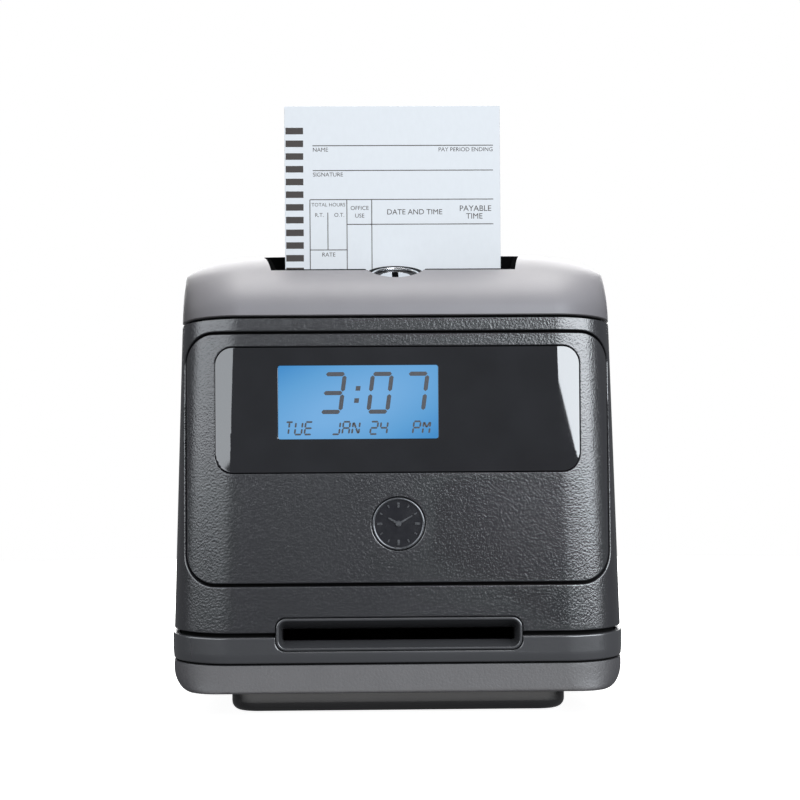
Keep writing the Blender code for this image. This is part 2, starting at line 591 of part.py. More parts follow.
def make_chute(dark):
    """The curved duct that turns the card forward to the exit slot, as a rectangular tube along its bend."""
    bend_y, bend_z = CARD_Y + 0.0016 - CHUTE_BEND, 0.0460
    inner_bend = 0.0085
    wall, half = 0.0015, 0.0526
    mouth_y, top_z = FRONT_Y + 0.0113, GUIDE_BOTTOM - GAP

    def station(outer, inner, a):
        """Points of the far and near walls where the bend has turned through an angle."""
        y, z = math.cos(a), -math.sin(a)
        return (bend_y + outer * y, bend_z + outer * z), (bend_y + inner * y, bend_z + inner * z)

    def duct_loop(far, near, width):
        return [(-width, *far), (width, *far), (width, *near), (-width, *near)]

    def stations(far_radius, near_radius):
        walls = [((bend_y + far_radius, top_z), (bend_y + near_radius, top_z))]
        walls += [station(far_radius, near_radius, math.radians(90) * i / 6) for i in range(7)]
        rise = MOUTH_TOP - (bend_z - inner_bend)
        walls.append(((mouth_y, bend_z - far_radius), (mouth_y, bend_z - near_radius + rise)))
        return walls

    outer_walls = stations(CHUTE_BEND + wall, inner_bend - wall)
    outside = [duct_loop(far, near, half + wall) for far, near in outer_walls]
    inside = [duct_loop(far, near, half) for far, near in stations(CHUTE_BEND, inner_bend)]
    add_object("exit_chute", skin(outside + inside[::-1], ring=True), dark)


def make_side_frames(steel):
    outline = [
        (-0.0610, 0.0400), (-0.0360, 0.0400), (-0.0360, 0.0135), (0.0100, 0.0135),
        (0.0100, 0.1320), (-0.0250, 0.1500), (-0.0420, 0.1500), (-0.0610, 0.1150),
    ]
    for side, x in (("left", -FRAME_X - FRAME_THICK), ("right", FRAME_X)):
        frame = add_object(f"side_frame_{side}", prism(outline, "X", x, x + FRAME_THICK), steel)
        holes = [(FEED_Y, FEED_Z, 0.0035), (PINCH_Y, FEED_Z, 0.0025)]
        holes += [(ROD_Y, z, ROD_RADIUS + 0.0004) for z in ROD_HEIGHTS]
        if side == "right":
            holes.append((PINION_Y, FEED_Z, 0.0030))
        for i, (y, z, radius) in enumerate(holes):
            hole = prism(circle(radius, 12, (y, z)), "X", x - 0.003, x + FRAME_THICK + 0.003)
            cut(frame, f"frame_cutter_{side}_{i + 1}", hole)


def toothed(teeth, on_tooth):
    """A gear's outline of (y, z) pairs round its own centre, with a tooth or a gap facing +Y."""
    pitch_radius, pitch = GEAR_MODULE * teeth / 2, math.tau / teeth
    tip, root = pitch_radius + 0.8 * GEAR_MODULE, pitch_radius - 1.15 * GEAR_MODULE
    outline = []
    for i in range(teeth):
        a = pitch * (i if on_tooth else i + 0.5)
        for radius, share in ((root, -0.25), (tip, -0.10), (tip, 0.10), (root, 0.25)):
            outline.append((radius * math.cos(a + share * pitch), radius * math.sin(a + share * pitch)))
    return outline


def make_feed(steel, rubber, plastic):
    axis, origin = (1, 0, 0), (0.0, FEED_Y, FEED_Z)
    shaft = turned([(0.0030, -0.0610), (0.0030, 0.0675)], origin, axis, steps=12)
    add_object("feed_shaft", shaft, steel, origin)
    pinch_origin = (0.0, PINCH_Y, FEED_Z)
    shaft = turned([(0.0020, -0.0600), (0.0020, 0.0600)], pinch_origin, axis, steps=12)
    add_object("pinch_shaft", shaft, steel, pinch_origin)
    for side, x in (("left", -ROLLER_X), ("right", ROLLER_X)):
        ring = sleeve(0.0033, FEED_RADIUS, (x - 0.006, FEED_Y, FEED_Z), axis, 0.012, steps=24)
        add_object(f"feed_roller_{side}", ring, rubber, origin)
        ring = sleeve(0.0023, PINCH_RADIUS, (x - 0.005, PINCH_Y, FEED_Z), axis, 0.010, steps=20)
        add_object(f"pinch_roller_{side}", ring, rubber, pinch_origin)
    outline = [(y + FEED_Y, z + FEED_Z) for y, z in toothed(GEAR_TEETH, on_tooth=False)]
    bore = circle(0.0033, len(outline), (FEED_Y, FEED_Z), turn=-0.25 * math.tau / GEAR_TEETH)
    loops = [[(GEAR_X[i], y, z) for y, z in o] for o, i in ((outline, 0), (outline, 1), (bore, 1), (bore, 0))]
    add_object("feed_gear", skin(loops, ring=True), plastic, origin)
    pinion_origin = (0.0, PINION_Y, FEED_Z)
    outline = toothed(PINION_TEETH, on_tooth=True)
    stem = circle(0.0015, len(outline), turn=-0.25 * math.tau / PINION_TEETH)
    levels = [(stem, FRAME_X - 0.0002), (stem, GEAR_X[0]), (outline, GEAR_X[0]), (outline, GEAR_X[1])]
    loops = [[(x, y + PINION_Y, z + FEED_Z) for y, z in o] for o, x in levels]
    add_object("motor_pinion", skin(loops), steel, pinion_origin)
    motor = turned([(0.0120, 0.0400), (0.0120, 0.0565)], (0.0, PINION_Y, FEED_Z), axis, steps=20)
    add_object("feed_motor", motor, steel)


# ---------------------------------------------------------------------------------------------
# Printer
# ---------------------------------------------------------------------------------------------

def make_printer(steel, dark, rubber, plastic):
    low, high = (-0.0500, -0.0280, PRINT_Z - 0.0055), (0.0500, -0.0200, PRINT_Z + 0.0055)
    add_object("print_platen", block(low, high), dark)
    start = (CARRIAGE_X, ROD_Y, PRINT_Z)
    low, high = (CARRIAGE_X - 0.011, -0.0600, 0.0740), (CARRIAGE_X + 0.011, -0.0453, 0.1000)
    lug = [
        (low[1], low[2]), (low[1], high[2]), (high[1], high[2]), (high[1], low[2]),
        (-0.0550, low[2]), (-0.0550, 0.0685), (-0.0572, 0.0685), (-0.0572, low[2]),
    ]
    carriage = add_object("head_carriage", prism(lug, "X", low[0], high[0]), plastic, start)
    trim = block((CARRIAGE_X - 0.020, -0.0576, 0.0600), (CARRIAGE_X - 0.003, -0.0540, 0.0739))
    cut(carriage, "lug_cutter_left", trim)
    trim = block((CARRIAGE_X + 0.003, -0.0576, 0.0600), (CARRIAGE_X + 0.020, -0.0540, 0.0739))
    cut(carriage, "lug_cutter_right", trim)
    for name, z in zip(("guide_rod_upper", "guide_rod_lower"), ROD_HEIGHTS):
        hole = prism(circle(ROD_RADIUS + 0.0004, 12, (ROD_Y, z)), "X", CARRIAGE_X - 0.020, CARRIAGE_X + 0.020)
        cut(carriage, f"{name}_cutter", hole)
        rod = turned([(ROD_RADIUS, -0.0600), (ROD_RADIUS, 0.0600)], (0.0, ROD_Y, z), (1, 0, 0), steps=12)
        add_object(name, rod, steel)
    taper = [(-0.0450, 0.008), (-0.0380, 0.008), (-0.0330, 0.003), (-0.0290, 0.002)]
    nose = [(y, PRINT_Z - reach) for y, reach in taper]
    nose += [(y, PRINT_Z + reach) for y, reach in reversed(taper)]
    add_object("print_head", prism(nose, "X", CARRIAGE_X - 0.007, CARRIAGE_X + 0.007), steel, start)
    bed = add_object("carriage_bed", block((-0.0565, -0.0625, BED_Z[0]), (0.0565, -0.0420, BED_Z[1])), steel)
    for name, x, drop in (("drive_pulley", BELT_X, 0.0016), ("idler_pulley", -BELT_X, 0.0040)):
        centre = (x, BELT_Y, BELT_Z)
        hole = prism(circle(0.0020, 12, (x, BELT_Y)), "Z", BED_Z[0] - 0.003, BED_Z[1] + 0.003)
        cut(bed, f"{name}_cutter", hole)
        base = BED_Z[0] + 0.0016 - drop - BELT_Z
        rim = PULLEY_RADIUS + 0.0010
        spindle = [
            (0.0015, base), (0.0015, -0.0024), (rim, -0.0024), (rim, -0.0020),
            (PULLEY_RADIUS, -0.0020), (PULLEY_RADIUS, 0.0024), (0.0020, 0.0024), (0.0020, 0.0034),
        ]
        add_object(name, turned(spindle, centre, (0, 0, 1), steps=16), plastic, centre)

    def belt_outline(radius):
        ends = []
        for centre, start_angle in ((BELT_X, -90), (-BELT_X, 90)):
            for i in range(9):
                a = math.radians(start_angle + 180 * i / 8)
                ends.append((centre + radius * math.cos(a), BELT_Y + radius * math.sin(a)))
        return ends

    inner, outer = belt_outline(PULLEY_RADIUS + 0.0004), belt_outline(PULLEY_RADIUS + 0.0012)
    low, high = BELT_Z - 0.0015, BELT_Z + 0.0020
    levels = ((outer, low), (outer, high), (inner, high), (inner, low))
    add_object("carriage_belt", skin([[(x, y, z) for x, y in o] for o, z in levels], ring=True), rubber)
    motor = turned([(0.0080, 0.0450), (0.0080, 0.0640)], (BELT_X, BELT_Y, 0.0), (0, 0, 1), steps=20)
    add_object("carriage_motor", motor, steel)
    add_object("ribbon_cassette", block((-0.0530, -0.0630, 0.1030), (0.0530, -0.0410, 0.1130), 0.0008), dark)
    knob_centre = (0.0380, -0.0520, 0.1133)
    knob = turned([(0.0062, 0.0), (0.0062, 0.0055), (0.0052, 0.0065)], knob_centre, (0, 0, 1), steps=16)
    add_object("ribbon_knob", knob, plastic, knob_centre)
    add_object("card_sensor", block((-0.0560, -0.0255, 0.1300), (-0.0440, -0.0190, 0.1400), 0.0006), dark)


def make_electronics(board, dark, steel):
    add_object("main_board", block((-0.0600, 0.0590, 0.0500), (0.0620, 0.0606, 0.1400)), board)
    cell = turned([(0.0072, -0.0250), (0.0072, 0.0250)], (-0.0150, 0.0512, 0.1250), (1, 0, 0), steps=16)
    add_object("backup_battery", cell, steel)
    buzzer = turned([(0.0065, 0.0), (0.0065, 0.0080)], (0.0350, 0.0587, 0.0950), (0, -1, 0), steps=16)
    add_object("buzzer", buzzer, dark)


def build():
    for old in list(bpy.data.objects):
        bpy.data.objects.remove(old)
    shell = {
        "cover": material("cover_plastic", (0.300, 0.290, 0.290), 0.55),
        "case": material("case_plastic", (0.055, 0.057, 0.063), 0.38),
        "band": material("band_plastic", (0.055, 0.057, 0.063), 0.20),
        "base": material("base_plastic", (0.090, 0.088, 0.092), 0.70),
        "foot": material("foot_plastic", (0.030, 0.029, 0.029), 0.50),
    }
    dark = material("black_plastic", (0.012, 0.012, 0.013), 0.45)
    gloss = material("gloss_black", (0.010, 0.010, 0.012), 0.06)
    badge = material("badge_black", (0.015, 0.015, 0.016), 0.25)
    display = material("lcd_blue", (0.110, 0.350, 0.720), 0.30)
    rubber = material("rubber_black", (0.020, 0.020, 0.020), 0.80)
    steel = material("zinc_steel", (0.560, 0.560, 0.550), 0.35, 1.0)
    chrome = material("chrome_plate", (0.800, 0.800, 0.800), 0.08, 1.0)
    plastic = material("acetal_white", (0.700, 0.690, 0.650), 0.50)
    button = material("button_grey", (0.450, 0.460, 0.470), 0.55)
    board = material("board_green", (0.020, 0.130, 0.060), 0.45)
    paper = material("card_paper", (0.760, 0.800, 0.850), 0.75)

    make_base(shell, rubber)
    make_band(shell)
    make_front_case(shell)
    make_panel(shell, gloss, badge)
    make_slot_bezel(dark)
    make_rear_cover(shell, dark)
    make_cover(shell)
    make_throat(dark)
    make_lock(dark, chrome, steel)
    make_display(board, display, dark, steel, button)
    make_card(paper)
    make_guides(steel)
    make_chute(dark)
    make_side_frames(steel)
    make_feed(steel, rubber, plastic)
    make_printer(steel, dark, rubber, plastic)
    make_electronics(board, dark, steel)


build()
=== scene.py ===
"""Looks of the punch time clock: fine shells, printed card, display, materials, light and camera.

Metres, +Z up. The front faces -Y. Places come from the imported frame.
"""

import math

import bmesh
import bpy
from mathutils import Matrix, Vector
from mathutils.geometry import tessellate_polygon


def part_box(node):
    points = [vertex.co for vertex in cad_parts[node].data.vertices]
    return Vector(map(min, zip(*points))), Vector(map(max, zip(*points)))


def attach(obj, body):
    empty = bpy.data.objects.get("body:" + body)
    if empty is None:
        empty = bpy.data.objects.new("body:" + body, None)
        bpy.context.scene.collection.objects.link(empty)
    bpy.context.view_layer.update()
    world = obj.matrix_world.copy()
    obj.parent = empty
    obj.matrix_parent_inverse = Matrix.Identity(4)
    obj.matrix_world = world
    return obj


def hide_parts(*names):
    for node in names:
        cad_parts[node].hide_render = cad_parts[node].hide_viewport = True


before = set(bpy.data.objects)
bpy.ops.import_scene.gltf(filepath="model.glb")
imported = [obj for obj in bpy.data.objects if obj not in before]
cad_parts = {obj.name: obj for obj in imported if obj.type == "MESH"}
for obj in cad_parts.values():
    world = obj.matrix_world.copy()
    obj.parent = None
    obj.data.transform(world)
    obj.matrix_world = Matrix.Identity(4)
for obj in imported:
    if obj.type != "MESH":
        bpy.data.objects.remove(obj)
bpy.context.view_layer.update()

# Places read from the frame
BAND_LOW, BAND_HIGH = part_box("lower_band")
CASE_LOW, CASE_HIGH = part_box("front_case")
COVER_LOW, COVER_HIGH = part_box("top_cover")
TRAY_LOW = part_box("base_tray")[0]
PLINTH_LOW, PLINTH_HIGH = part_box("foot_plinth")
PANEL_LOW, PANEL_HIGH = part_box("front_panel")
LENS_LOW, LENS_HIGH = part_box("display_lens")
LCD_LOW, LCD_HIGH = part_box("lcd_module")
BADGE_LOW, BADGE_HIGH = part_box("badge_disc")
SLOT_LOW, SLOT_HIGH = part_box("slot_bezel")
THROAT_LOW, THROAT_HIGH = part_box("card_throat")
CARD_LOW, CARD_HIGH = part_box("time_card")
REAR_LOW, REAR_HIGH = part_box("rear_cover")
INLET_LOW, INLET_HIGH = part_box("power_inlet")

# The case's plan section
HALF = BAND_HIGH.x
FRONT, REAR = BAND_LOW.y, BAND_HIGH.y
FRONT_RADIUS, REAR_RADIUS = 0.028, 0.014
SIDE_LEAN, LEAN_FROM = 0.0322, 0.036
WALL = 0.0025
GAP = 0.0003
STEP_IN = 0.0006                    # the case and cover stand this far inside the band's outline

# Seams. The band's tongue stands above its visible top, and the case's rim above its own.
TONGUE_HEIGHT, RIM_HEIGHT = 0.0052, 0.0025
TONGUE_DEPTH = WALL + GAP
TONGUE_THICK = 0.0015
EDGE_TRIM = 0.0006      # the case's top edge is drawn this much above the CAD's, and the panel's below
BAND_BOTTOM, BAND_TOP = BAND_LOW.z, BAND_HIGH.z - TONGUE_HEIGHT
CASE_BOTTOM, CASE_TOP = CASE_LOW.z, CASE_HIGH.z - RIM_HEIGHT + EDGE_TRIM
SEAM_DROOP, DROOP_FROM = 0.0027, 0.1715    # the cover's seam dips as it turns the front corners
SEAM_RISE = 0.0010                         # the cover's visible edge above its box's underside
CORNER_LIFT, LIFT_FADE = 0.0014, 0.010     # the two lower seams rise as they turn the front corners

# Panel, lens and display window, as seen from the front
PANEL_FLANGE = 0.0029
PANEL_HALF, PANEL_RADIUS, PANEL_GROOVE = 0.0968, 0.0135, 0.0014
PANEL_BOTTOM, PANEL_TOP = PANEL_LOW.z + PANEL_FLANGE, PANEL_HIGH.z - PANEL_FLANGE - EDGE_TRIM
PANEL_GROOVE_TOP, PANEL_GROOVE_SIDE = 0.0011, 0.0009
LENS_HALF, LENS_RADIUS, LENS_THICK, LENS_GAP = LENS_HIGH.x, 0.0080, 0.0015, 0.0004
BADGE_Z, BADGE_RADIUS = (BADGE_LOW.z + BADGE_HIGH.z) / 2, (BADGE_HIGH.x - BADGE_LOW.x) / 2
LCD_MARGIN_X, LCD_MARGIN_Z = 0.0040, 0.0050
LCD_LEFT, LCD_RIGHT = LCD_LOW.x + LCD_MARGIN_X, LCD_HIGH.x - LCD_MARGIN_X
LCD_BOTTOM, LCD_TOP = LCD_LOW.z + LCD_MARGIN_Z, LCD_HIGH.z - LCD_MARGIN_Z

# Roll of the cover
ROLL_FROM, ROLL_DEPTH = 0.178, 0.080
SHOULDER_FROM, SHOULDER_WIDTH, SHOULDER_POWER = 0.2012, 0.0205, 1.3     # nearly a straight slope
TAIL_FROM, TAIL_DEPTH = 0.199, 0.013
COVER_TOP = COVER_HIGH.z

# Key lock
LOCK_CENTRE = Vector((0.0, -0.0450, 0.2020))
LOCK_TILT = math.radians(20)
LOCK_AXIS = Vector((0.0, -math.sin(LOCK_TILT), math.cos(LOCK_TILT)))
WELL_RADIUS = 0.0140
LOCK_SINK = 0.0009      # how far the ring and plug sit below the well's own centre

# Exit slot
SLOT_HALF, SLOT_BOTTOM, SLOT_TOP, SLOT_RADIUS = SLOT_HIGH.x, SLOT_LOW.z, SLOT_HIGH.z, 0.0046
MOUTH_HALF, MOUTH_BOTTOM, MOUTH_TOP = 0.0530, 0.0333, 0.0387

# Back panel, inside the edge of the CAD's rear cover
REAR_MARGIN, REAR_CORNER, REAR_GAP = 0.0040, 0.0050, 0.0004
FLANGE_DEPTH, FLANGE_THICK = 0.0030, 0.0018
KEYHOLES, KEYHOLE_Z, KEYHOLE_TOP = (-0.0600, 0.0600), 0.1330, 0.1440
KEYHOLE_HEAD, KEYHOLE_NECK = 0.0045, 0.0022
VENT_HALF, VENT_BOTTOM, VENT_TOP = 0.0015, 0.0850, 0.1150
SCREW_RADIUS = 0.0015


# Materials

class Finish:
    """A material under construction: its node tree, shader and object-space coordinates."""

    def __init__(self, name, colour, roughness, metallic=0.0):
        self.material = bpy.data.materials.new(name)
        self.material.use_nodes = True
        self.tree = self.material.node_tree
        self.shader = self.tree.nodes["Principled BSDF"]
        self.set("Base Color", (*colour, 1.0)).set("Roughness", roughness).set("Metallic", metallic)
        self.colour, self.roughness = colour, roughness
        self.place = self.node("TexCoord").outputs["Object"]

    def feed(self, node, name, value):
        """Give a node's input a value, or link it to the output that feeds it."""
        if isinstance(value, bpy.types.NodeSocket):
            self.tree.links.new(value, node.inputs[name])
        else:
            node.inputs[name].default_value = value

    def node(self, kind, **inputs):
        made = self.tree.nodes.new("ShaderNode" + kind)
        for name, value in inputs.items():
            self.feed(made, name.replace("_", " "), value)
        return made

    def set(self, name, value):
        self.feed(self.shader, name, value)
        return self

    def noise(self, size, detail=2.0, stretch=None):
        """Noise with grains of about this size in metres, stretched along the axes if asked."""
        place = self.place
        if stretch:
            place = self.node("Mapping", Scale=stretch, Vector=place).outputs["Vector"]
        return self.node("TexNoise", Scale=1.0 / size, Detail=detail, Vector=place).outputs["Fac"]

    def ramp(self, value, stops):
        made = self.node("ValToRGB", Fac=value)
        elements = made.color_ramp.elements
        while len(elements) < len(stops):
            elements.new(0.5)
        for element, (at, colour) in zip(elements, stops):
            element.position = at
            element.color = (*colour, 1.0)
        return made.outputs["Color"]

    def mottle(self, value, spread):
        """Vary the colour by a share either way."""
        dark = tuple(c * (1 - spread) for c in self.colour)
        light = tuple(min(c * (1 + spread), 1.0) for c in self.colour)
        return self.set("Base Color", self.ramp(value, ((0.3, dark), (0.7, light))))

    def uneven(self, value, spread):
        """Vary the roughness either way."""
        low, high = self.roughness - spread, self.roughness + spread
        made = self.node("MapRange", From_Min=0.3, From_Max=0.7, To_Min=low, To_Max=high, Value=value)
        return self.set("Roughness", made.outputs["Result"])

    def bump(self, value, strength, distance):
        made = self.node("Bump", Strength=strength, Distance=distance, Height=value)
        return self.set("Normal", made.outputs["Normal"])


def moulded(name, colour, roughness, grain=0.0007, strength=0.25, spread=0.05):
    """Moulded plastic: a fine pitted surface, with slight unevenness of colour and gloss."""
    made = Finish(name, colour, roughness)
    made.mottle(made.noise(0.012, 1.0), spread)
    made.uneven(made.noise(0.030, 1.0), 0.012)
    made.bump(made.noise(grain, 2.0), strength, grain * 0.20)
    return made


MOULDED = {      # name, colour, roughness, then the grain's size, its strength and the colour's spread
    "cover": ("cover_plastic", (0.285, 0.273, 0.278), 0.46, 0.0006, 0.30, 0.02),
    "case": ("case_plastic", (0.0145, 0.0145, 0.0160), 0.235, 0.0009, 0.90, 0.02),
    "band": ("band_plastic", (0.0290, 0.0290, 0.0308), 0.26, 0.0012, 0.10, 0.02),
    "base": ("base_plastic", (0.033, 0.032, 0.0337), 0.46, 0.0012, 0.85, 0.04),
    "foot": ("foot_plastic", (0.018, 0.017, 0.017), 0.26, 0.0010, 0.10, 0.02),
    "black": ("black_plastic", (0.012, 0.012, 0.013), 0.38, 0.0008, 0.20, 0.10),
    # The shadow finish is painted shade: near-black and without reflections, for pieces that stand in for the
    # shade in seams, gaps, pockets and holes.
    "shadow": ("painted_shadow_black", (0.004, 0.004, 0.004), 0.75, 0.0008, 0.10, 0.10),
    "rubber": ("rubber_black", (0.020, 0.020, 0.020), 0.80, 0.0010, 0.40, 0.12),
    "acetal": ("acetal_white", (0.68, 0.67, 0.63), 0.42, 0.0010, 0.10, 0.03),
    "button": ("button_grey", (0.42, 0.43, 0.44), 0.50, 0.0007, 0.20, 0.03),
}
SHINE = {"case": 0.85, "band": 0.85, "shadow": 0.0}      # specular level, where it isn't the usual one


def make_materials():
    made = {key: moulded(*values) for key, values in MOULDED.items()}
    for key, level in SHINE.items():
        made[key].set("Specular IOR Level", level)
    lens = Finish("gloss_black", (0.0090, 0.0092, 0.0105), 0.035)
    lens.uneven(lens.noise(0.030, 2.0), 0.010)
    lens.mottle(lens.noise(0.020, 2.0), 0.15)
    made["lens"] = lens.set("Specular IOR Level", 1.0)
    badge = Finish("badge_black", (0.010, 0.010, 0.012), 0.20)
    made["badge"] = badge.uneven(badge.noise(0.004), 0.05)
    rim = Finish("badge_satin", (0.110, 0.112, 0.118), 0.30, 0.8)
    made["badge_metal"] = rim.uneven(rim.noise(0.0015), 0.06)
    steel = Finish("zinc_steel", (0.50, 0.50, 0.49), 0.34, 1.0)
    steel.mottle(steel.noise(0.006, 4.0), 0.10)
    made["steel"] = steel.uneven(steel.noise(0.0025, 3.0, (1.0, 6.0, 6.0)), 0.08)
    chrome = Finish("chrome_plate", (0.83, 0.84, 0.85), 0.06, 1.0)
    made["chrome"] = chrome.uneven(chrome.noise(0.004), 0.02)
    brass = Finish("brass_plate", (0.60, 0.44, 0.20), 0.28, 1.0)
    made["brass"] = brass.uneven(brass.noise(0.003), 0.06)
    board = Finish("board_green", (0.018, 0.110, 0.050), 0.35)
    board.mottle(board.noise(0.0030, 1.0, (1.0, 1.0, 0.25)), 0.22)
    made["board"] = board.bump(board.noise(0.0030, 1.0, (1.0, 1.0, 0.25)), 0.3, 0.0001)
    battery = Finish("battery_wrap", (0.030, 0.120, 0.300), 0.30)
    made["battery"] = battery.mottle(battery.noise(0.004), 0.10)
    card = Finish("card_paper", (0.735, 0.792, 0.850), 0.62)
    card.mottle(card.noise(0.0022, 4.0, (1.0, 1.0, 0.5)), 0.012)
    made["card"] = card.bump(card.noise(0.0005, 3.0), 0.10, 0.00003)
    ink = Finish("card_ink", (0.040, 0.034, 0.033), 0.55)
    ink.mottle(ink.noise(0.0006), 0.12)
    made["ink"] = ink.set("Specular IOR Level", 0.3)
    segment = Finish("lcd_segment", (0.032, 0.033, 0.038), 0.40)
    made["segment"] = segment.mottle(segment.noise(0.0008), 0.06)
    made["lcd"] = make_backlight()
    return {name: finish.material for name, finish in made.items()}


def make_backlight():
    """Blue display glass lit from behind, brightest in a soft band across its middle."""
    made = Finish("lcd_blue", (0.004, 0.012, 0.025), 0.12)
    width, height = LCD_RIGHT - LCD_LEFT, LCD_TOP - LCD_BOTTOM
    middle = (LCD_LEFT + width * 0.44, FRONT, LCD_BOTTOM + height * 0.44)
    lean, size = (0.0, math.radians(-20), 0.0), (width * 1.10, 1.0, height * 0.85)
    mapping = made.node("Mapping", Location=middle, Rotation=lean, Scale=size, Vector=made.place)
    mapping.vector_type = "TEXTURE"
    glow = made.node("TexGradient", Vector=mapping.outputs["Vector"])
    glow.gradient_type = "SPHERICAL"
    stops = ((0.0, (0.055, 0.245, 0.540)), (0.35, (0.110, 0.330, 0.615)), (0.8, (0.175, 0.400, 0.690)))
    made.set("Emission Color", made.ramp(glow.outputs["Fac"], stops)).set("Emission Strength", 1.0)
    return made.set("Specular IOR Level", 0.2)


FINISHES = make_materials()
BODY_OF = {}            # each piece's body, by name


# Mesh helpers

def show(name, data):
    """An object made of this data, linked to the scene."""
    made = bpy.data.objects.new(name, data)
    bpy.context.scene.collection.objects.link(made)
    return made


def mesh_from(name, bm):
    mesh = bpy.data.meshes.new(name)
    bm.to_mesh(mesh)
    bm.free()
    return mesh


def place(name, bm, finish, body, slot, *nodes, smooth=32, weighted=True):
    """Link a closed mesh as a piece that rides a body and stands for CAD nodes."""
    bmesh.ops.recalc_face_normals(bm, faces=bm.faces)
    mesh = mesh_from(name, bm)
    mesh.shade_smooth()
    mesh.set_sharp_from_angle(angle=math.radians(smooth))
    mesh.materials.append(FINISHES[finish])
    made = show(name, mesh)
    if weighted:
        normals = made.modifiers.new("face_weighted_normals", "WEIGHTED_NORMAL")
        normals.keep_sharp = True
    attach(made, body)
    BODY_OF[name] = body
    if nodes:
        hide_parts(*nodes)


def skin(loops, ring=False):
    """A closed mesh through loops of equal length. A ring joins its last loop to its first."""
    bm = bmesh.new()
    rows = [[bm.verts.new(point) for point in loop] for loop in loops]
    pairs = list(zip(rows, rows[1:]))
    if ring:
        pairs.append((rows[-1], rows[0]))
    for low, high in pairs:
        for i, vert in enumerate(low):
            j = (i + 1) % len(low)
            bm.faces.new((vert, low[j], high[j], high[i]))
    if not ring:
        bm.faces.new(rows[0][::-1])
        bm.faces.new(rows[-1])
    return bm


def block(low, high, bevel=0.0, segments=2):
    size = Vector(high) - Vector(low)
    middle = (Vector(high) + Vector(low)) / 2
    bm = bmesh.new()
    bmesh.ops.create_cube(bm, size=1.0, matrix=Matrix.Translation(middle) @ Matrix.Diagonal((*size, 1.0)))
    if bevel:
        bmesh.ops.bevel(bm, geom=bm.edges[:], offset=bevel, segments=segments, profile=0.5, affect="EDGES")
    return bm


def circle(radius, steps, centre=(0.0, 0.0)):
    angles = [math.tau * i / steps for i in range(steps)]
    return [(centre[0] + radius * math.cos(a), centre[1] + radius * math.sin(a)) for a in angles]


def arc(centre, radius, start, end, steps=6):
    """Points along an arc, in degrees."""
    angles = [math.radians(start + (end - start) * i / steps) for i in range(steps + 1)]
    return [(centre[0] + radius * math.cos(a), centre[1] + radius * math.sin(a)) for a in angles]


def rounded(left, bottom, right, top, radius, steps=12):
    """The outline of a rectangle with round corners, anticlockwise."""
    corners = (
        (right - radius, bottom + radius, -90),
        (right - radius, top - radius, 0),
        (left + radius, top - radius, 90),
        (left + radius, bottom + radius, 180),
    )
    arcs = [arc((x, y), radius, start, start + 90, steps) for x, y, start in corners]
    return sum(arcs, [])


def quarter(radius, steps):
    """How far in and how deep the steps of a rounded edge are, from its face to its side."""
    angles = [math.radians(90 * i / steps) for i in range(steps + 1)]
    return [(radius * (1 - math.sin(a)), radius * (1 - math.cos(a))) for a in angles]


def prism(outline, low, high, fillet=0.0, steps=3):
    """An outline of (x, z) points extruded from one y to another, its two rims rounded."""
    levels = quarter(fillet, steps) if fillet else [(0.0, 0.0)]
    sections = [(inset, low + rise) for inset, rise in levels]
    sections += [(inset, high - rise) for inset, rise in levels[::-1]]
    return skin([[(x, y, z) for x, z in moved(outline, inset)] for inset, y in sections])


def moved(outline, amount):
    """An outline moved by an amount towards its left-hand side, which is inwards when anticlockwise."""
    if not amount:
        return list(outline)
    result = []
    for i, (x, y) in enumerate(outline):
        before, after = Vector(outline[i - 1]), Vector(outline[(i + 1) % len(outline)])
        here = Vector((x, y))
        one, two = (here - before).normalized(), (after - here).normalized()
        left_one, left_two = Vector((-one.y, one.x)), Vector((-two.y, two.x))
        middle = (left_one + left_two).normalized()
        shift = middle * (amount / max(middle.dot(left_one), 0.4))
        result.append((x + shift.x, y + shift.y))
    return result


def turned(profile, base, axis, steps=64, ring=False):
    """A solid of revolution through (radius, distance along the axis) pairs."""
    turn = Vector(axis).to_track_quat("Z", "Y").to_matrix()
    loops = []
    for radius, along in profile:
        loops.append([Vector(base) + turn @ Vector((x, y, along)) for x, y in circle(radius, steps)])
    return skin(loops, ring)


def subtract(bm, *cutters):
    """The mesh less the cutters' shapes."""
    made = show("cut_target", mesh_from("cut_target", bm))
    tools = []
    for cutter in cutters:
        bmesh.ops.recalc_face_normals(cutter, faces=cutter.faces)
        tool = show("cutter", mesh_from("cutter", cutter))
        boolean = made.modifiers.new("cut", "BOOLEAN")
        boolean.operation = "DIFFERENCE"
        boolean.object = tool
        tools.append(tool)
    bpy.context.view_layer.update()
    evaluated = made.evaluated_get(bpy.context.evaluated_depsgraph_get())
    result = bmesh.new()
    result.from_mesh(evaluated.to_mesh())
    for scrap in [made, *tools]:
        bpy.data.objects.remove(scrap)
    return result


def round_edges(bm, chosen, width, segments=3):
    """Round the sharp edges that a test picks out, after welding slivers along them."""
    def sharp():
        edges = []
        for edge in bm.edges:
            if len(edge.link_faces) == 2 and edge.calc_face_angle(0.0) > math.radians(28) and chosen(edge):
                edges.append(edge)
        return edges

    rim = {vert for edge in sharp() for vert in edge.verts}
    in_order = [vert for vert in bm.verts if vert in rim]       # a set's own order changes from run to run
    bmesh.ops.remove_doubles(bm, verts=in_order, dist=width * 0.5)
    bmesh.ops.bevel(
        bm, geom=sharp(), offset=width, segments=segments, profile=0.5, affect="EDGES", clamp_overlap=True
    )
    return bm


# The case's surface: flat plates cut to shape, then wrapped round the plan section

EDGE_X = 0.0984         # out to here a plate's first coordinate is its x; beyond, it runs along the section


def half_width(z):
    return HALF - max(z - LEAN_FROM, 0.0) * SIDE_LEAN


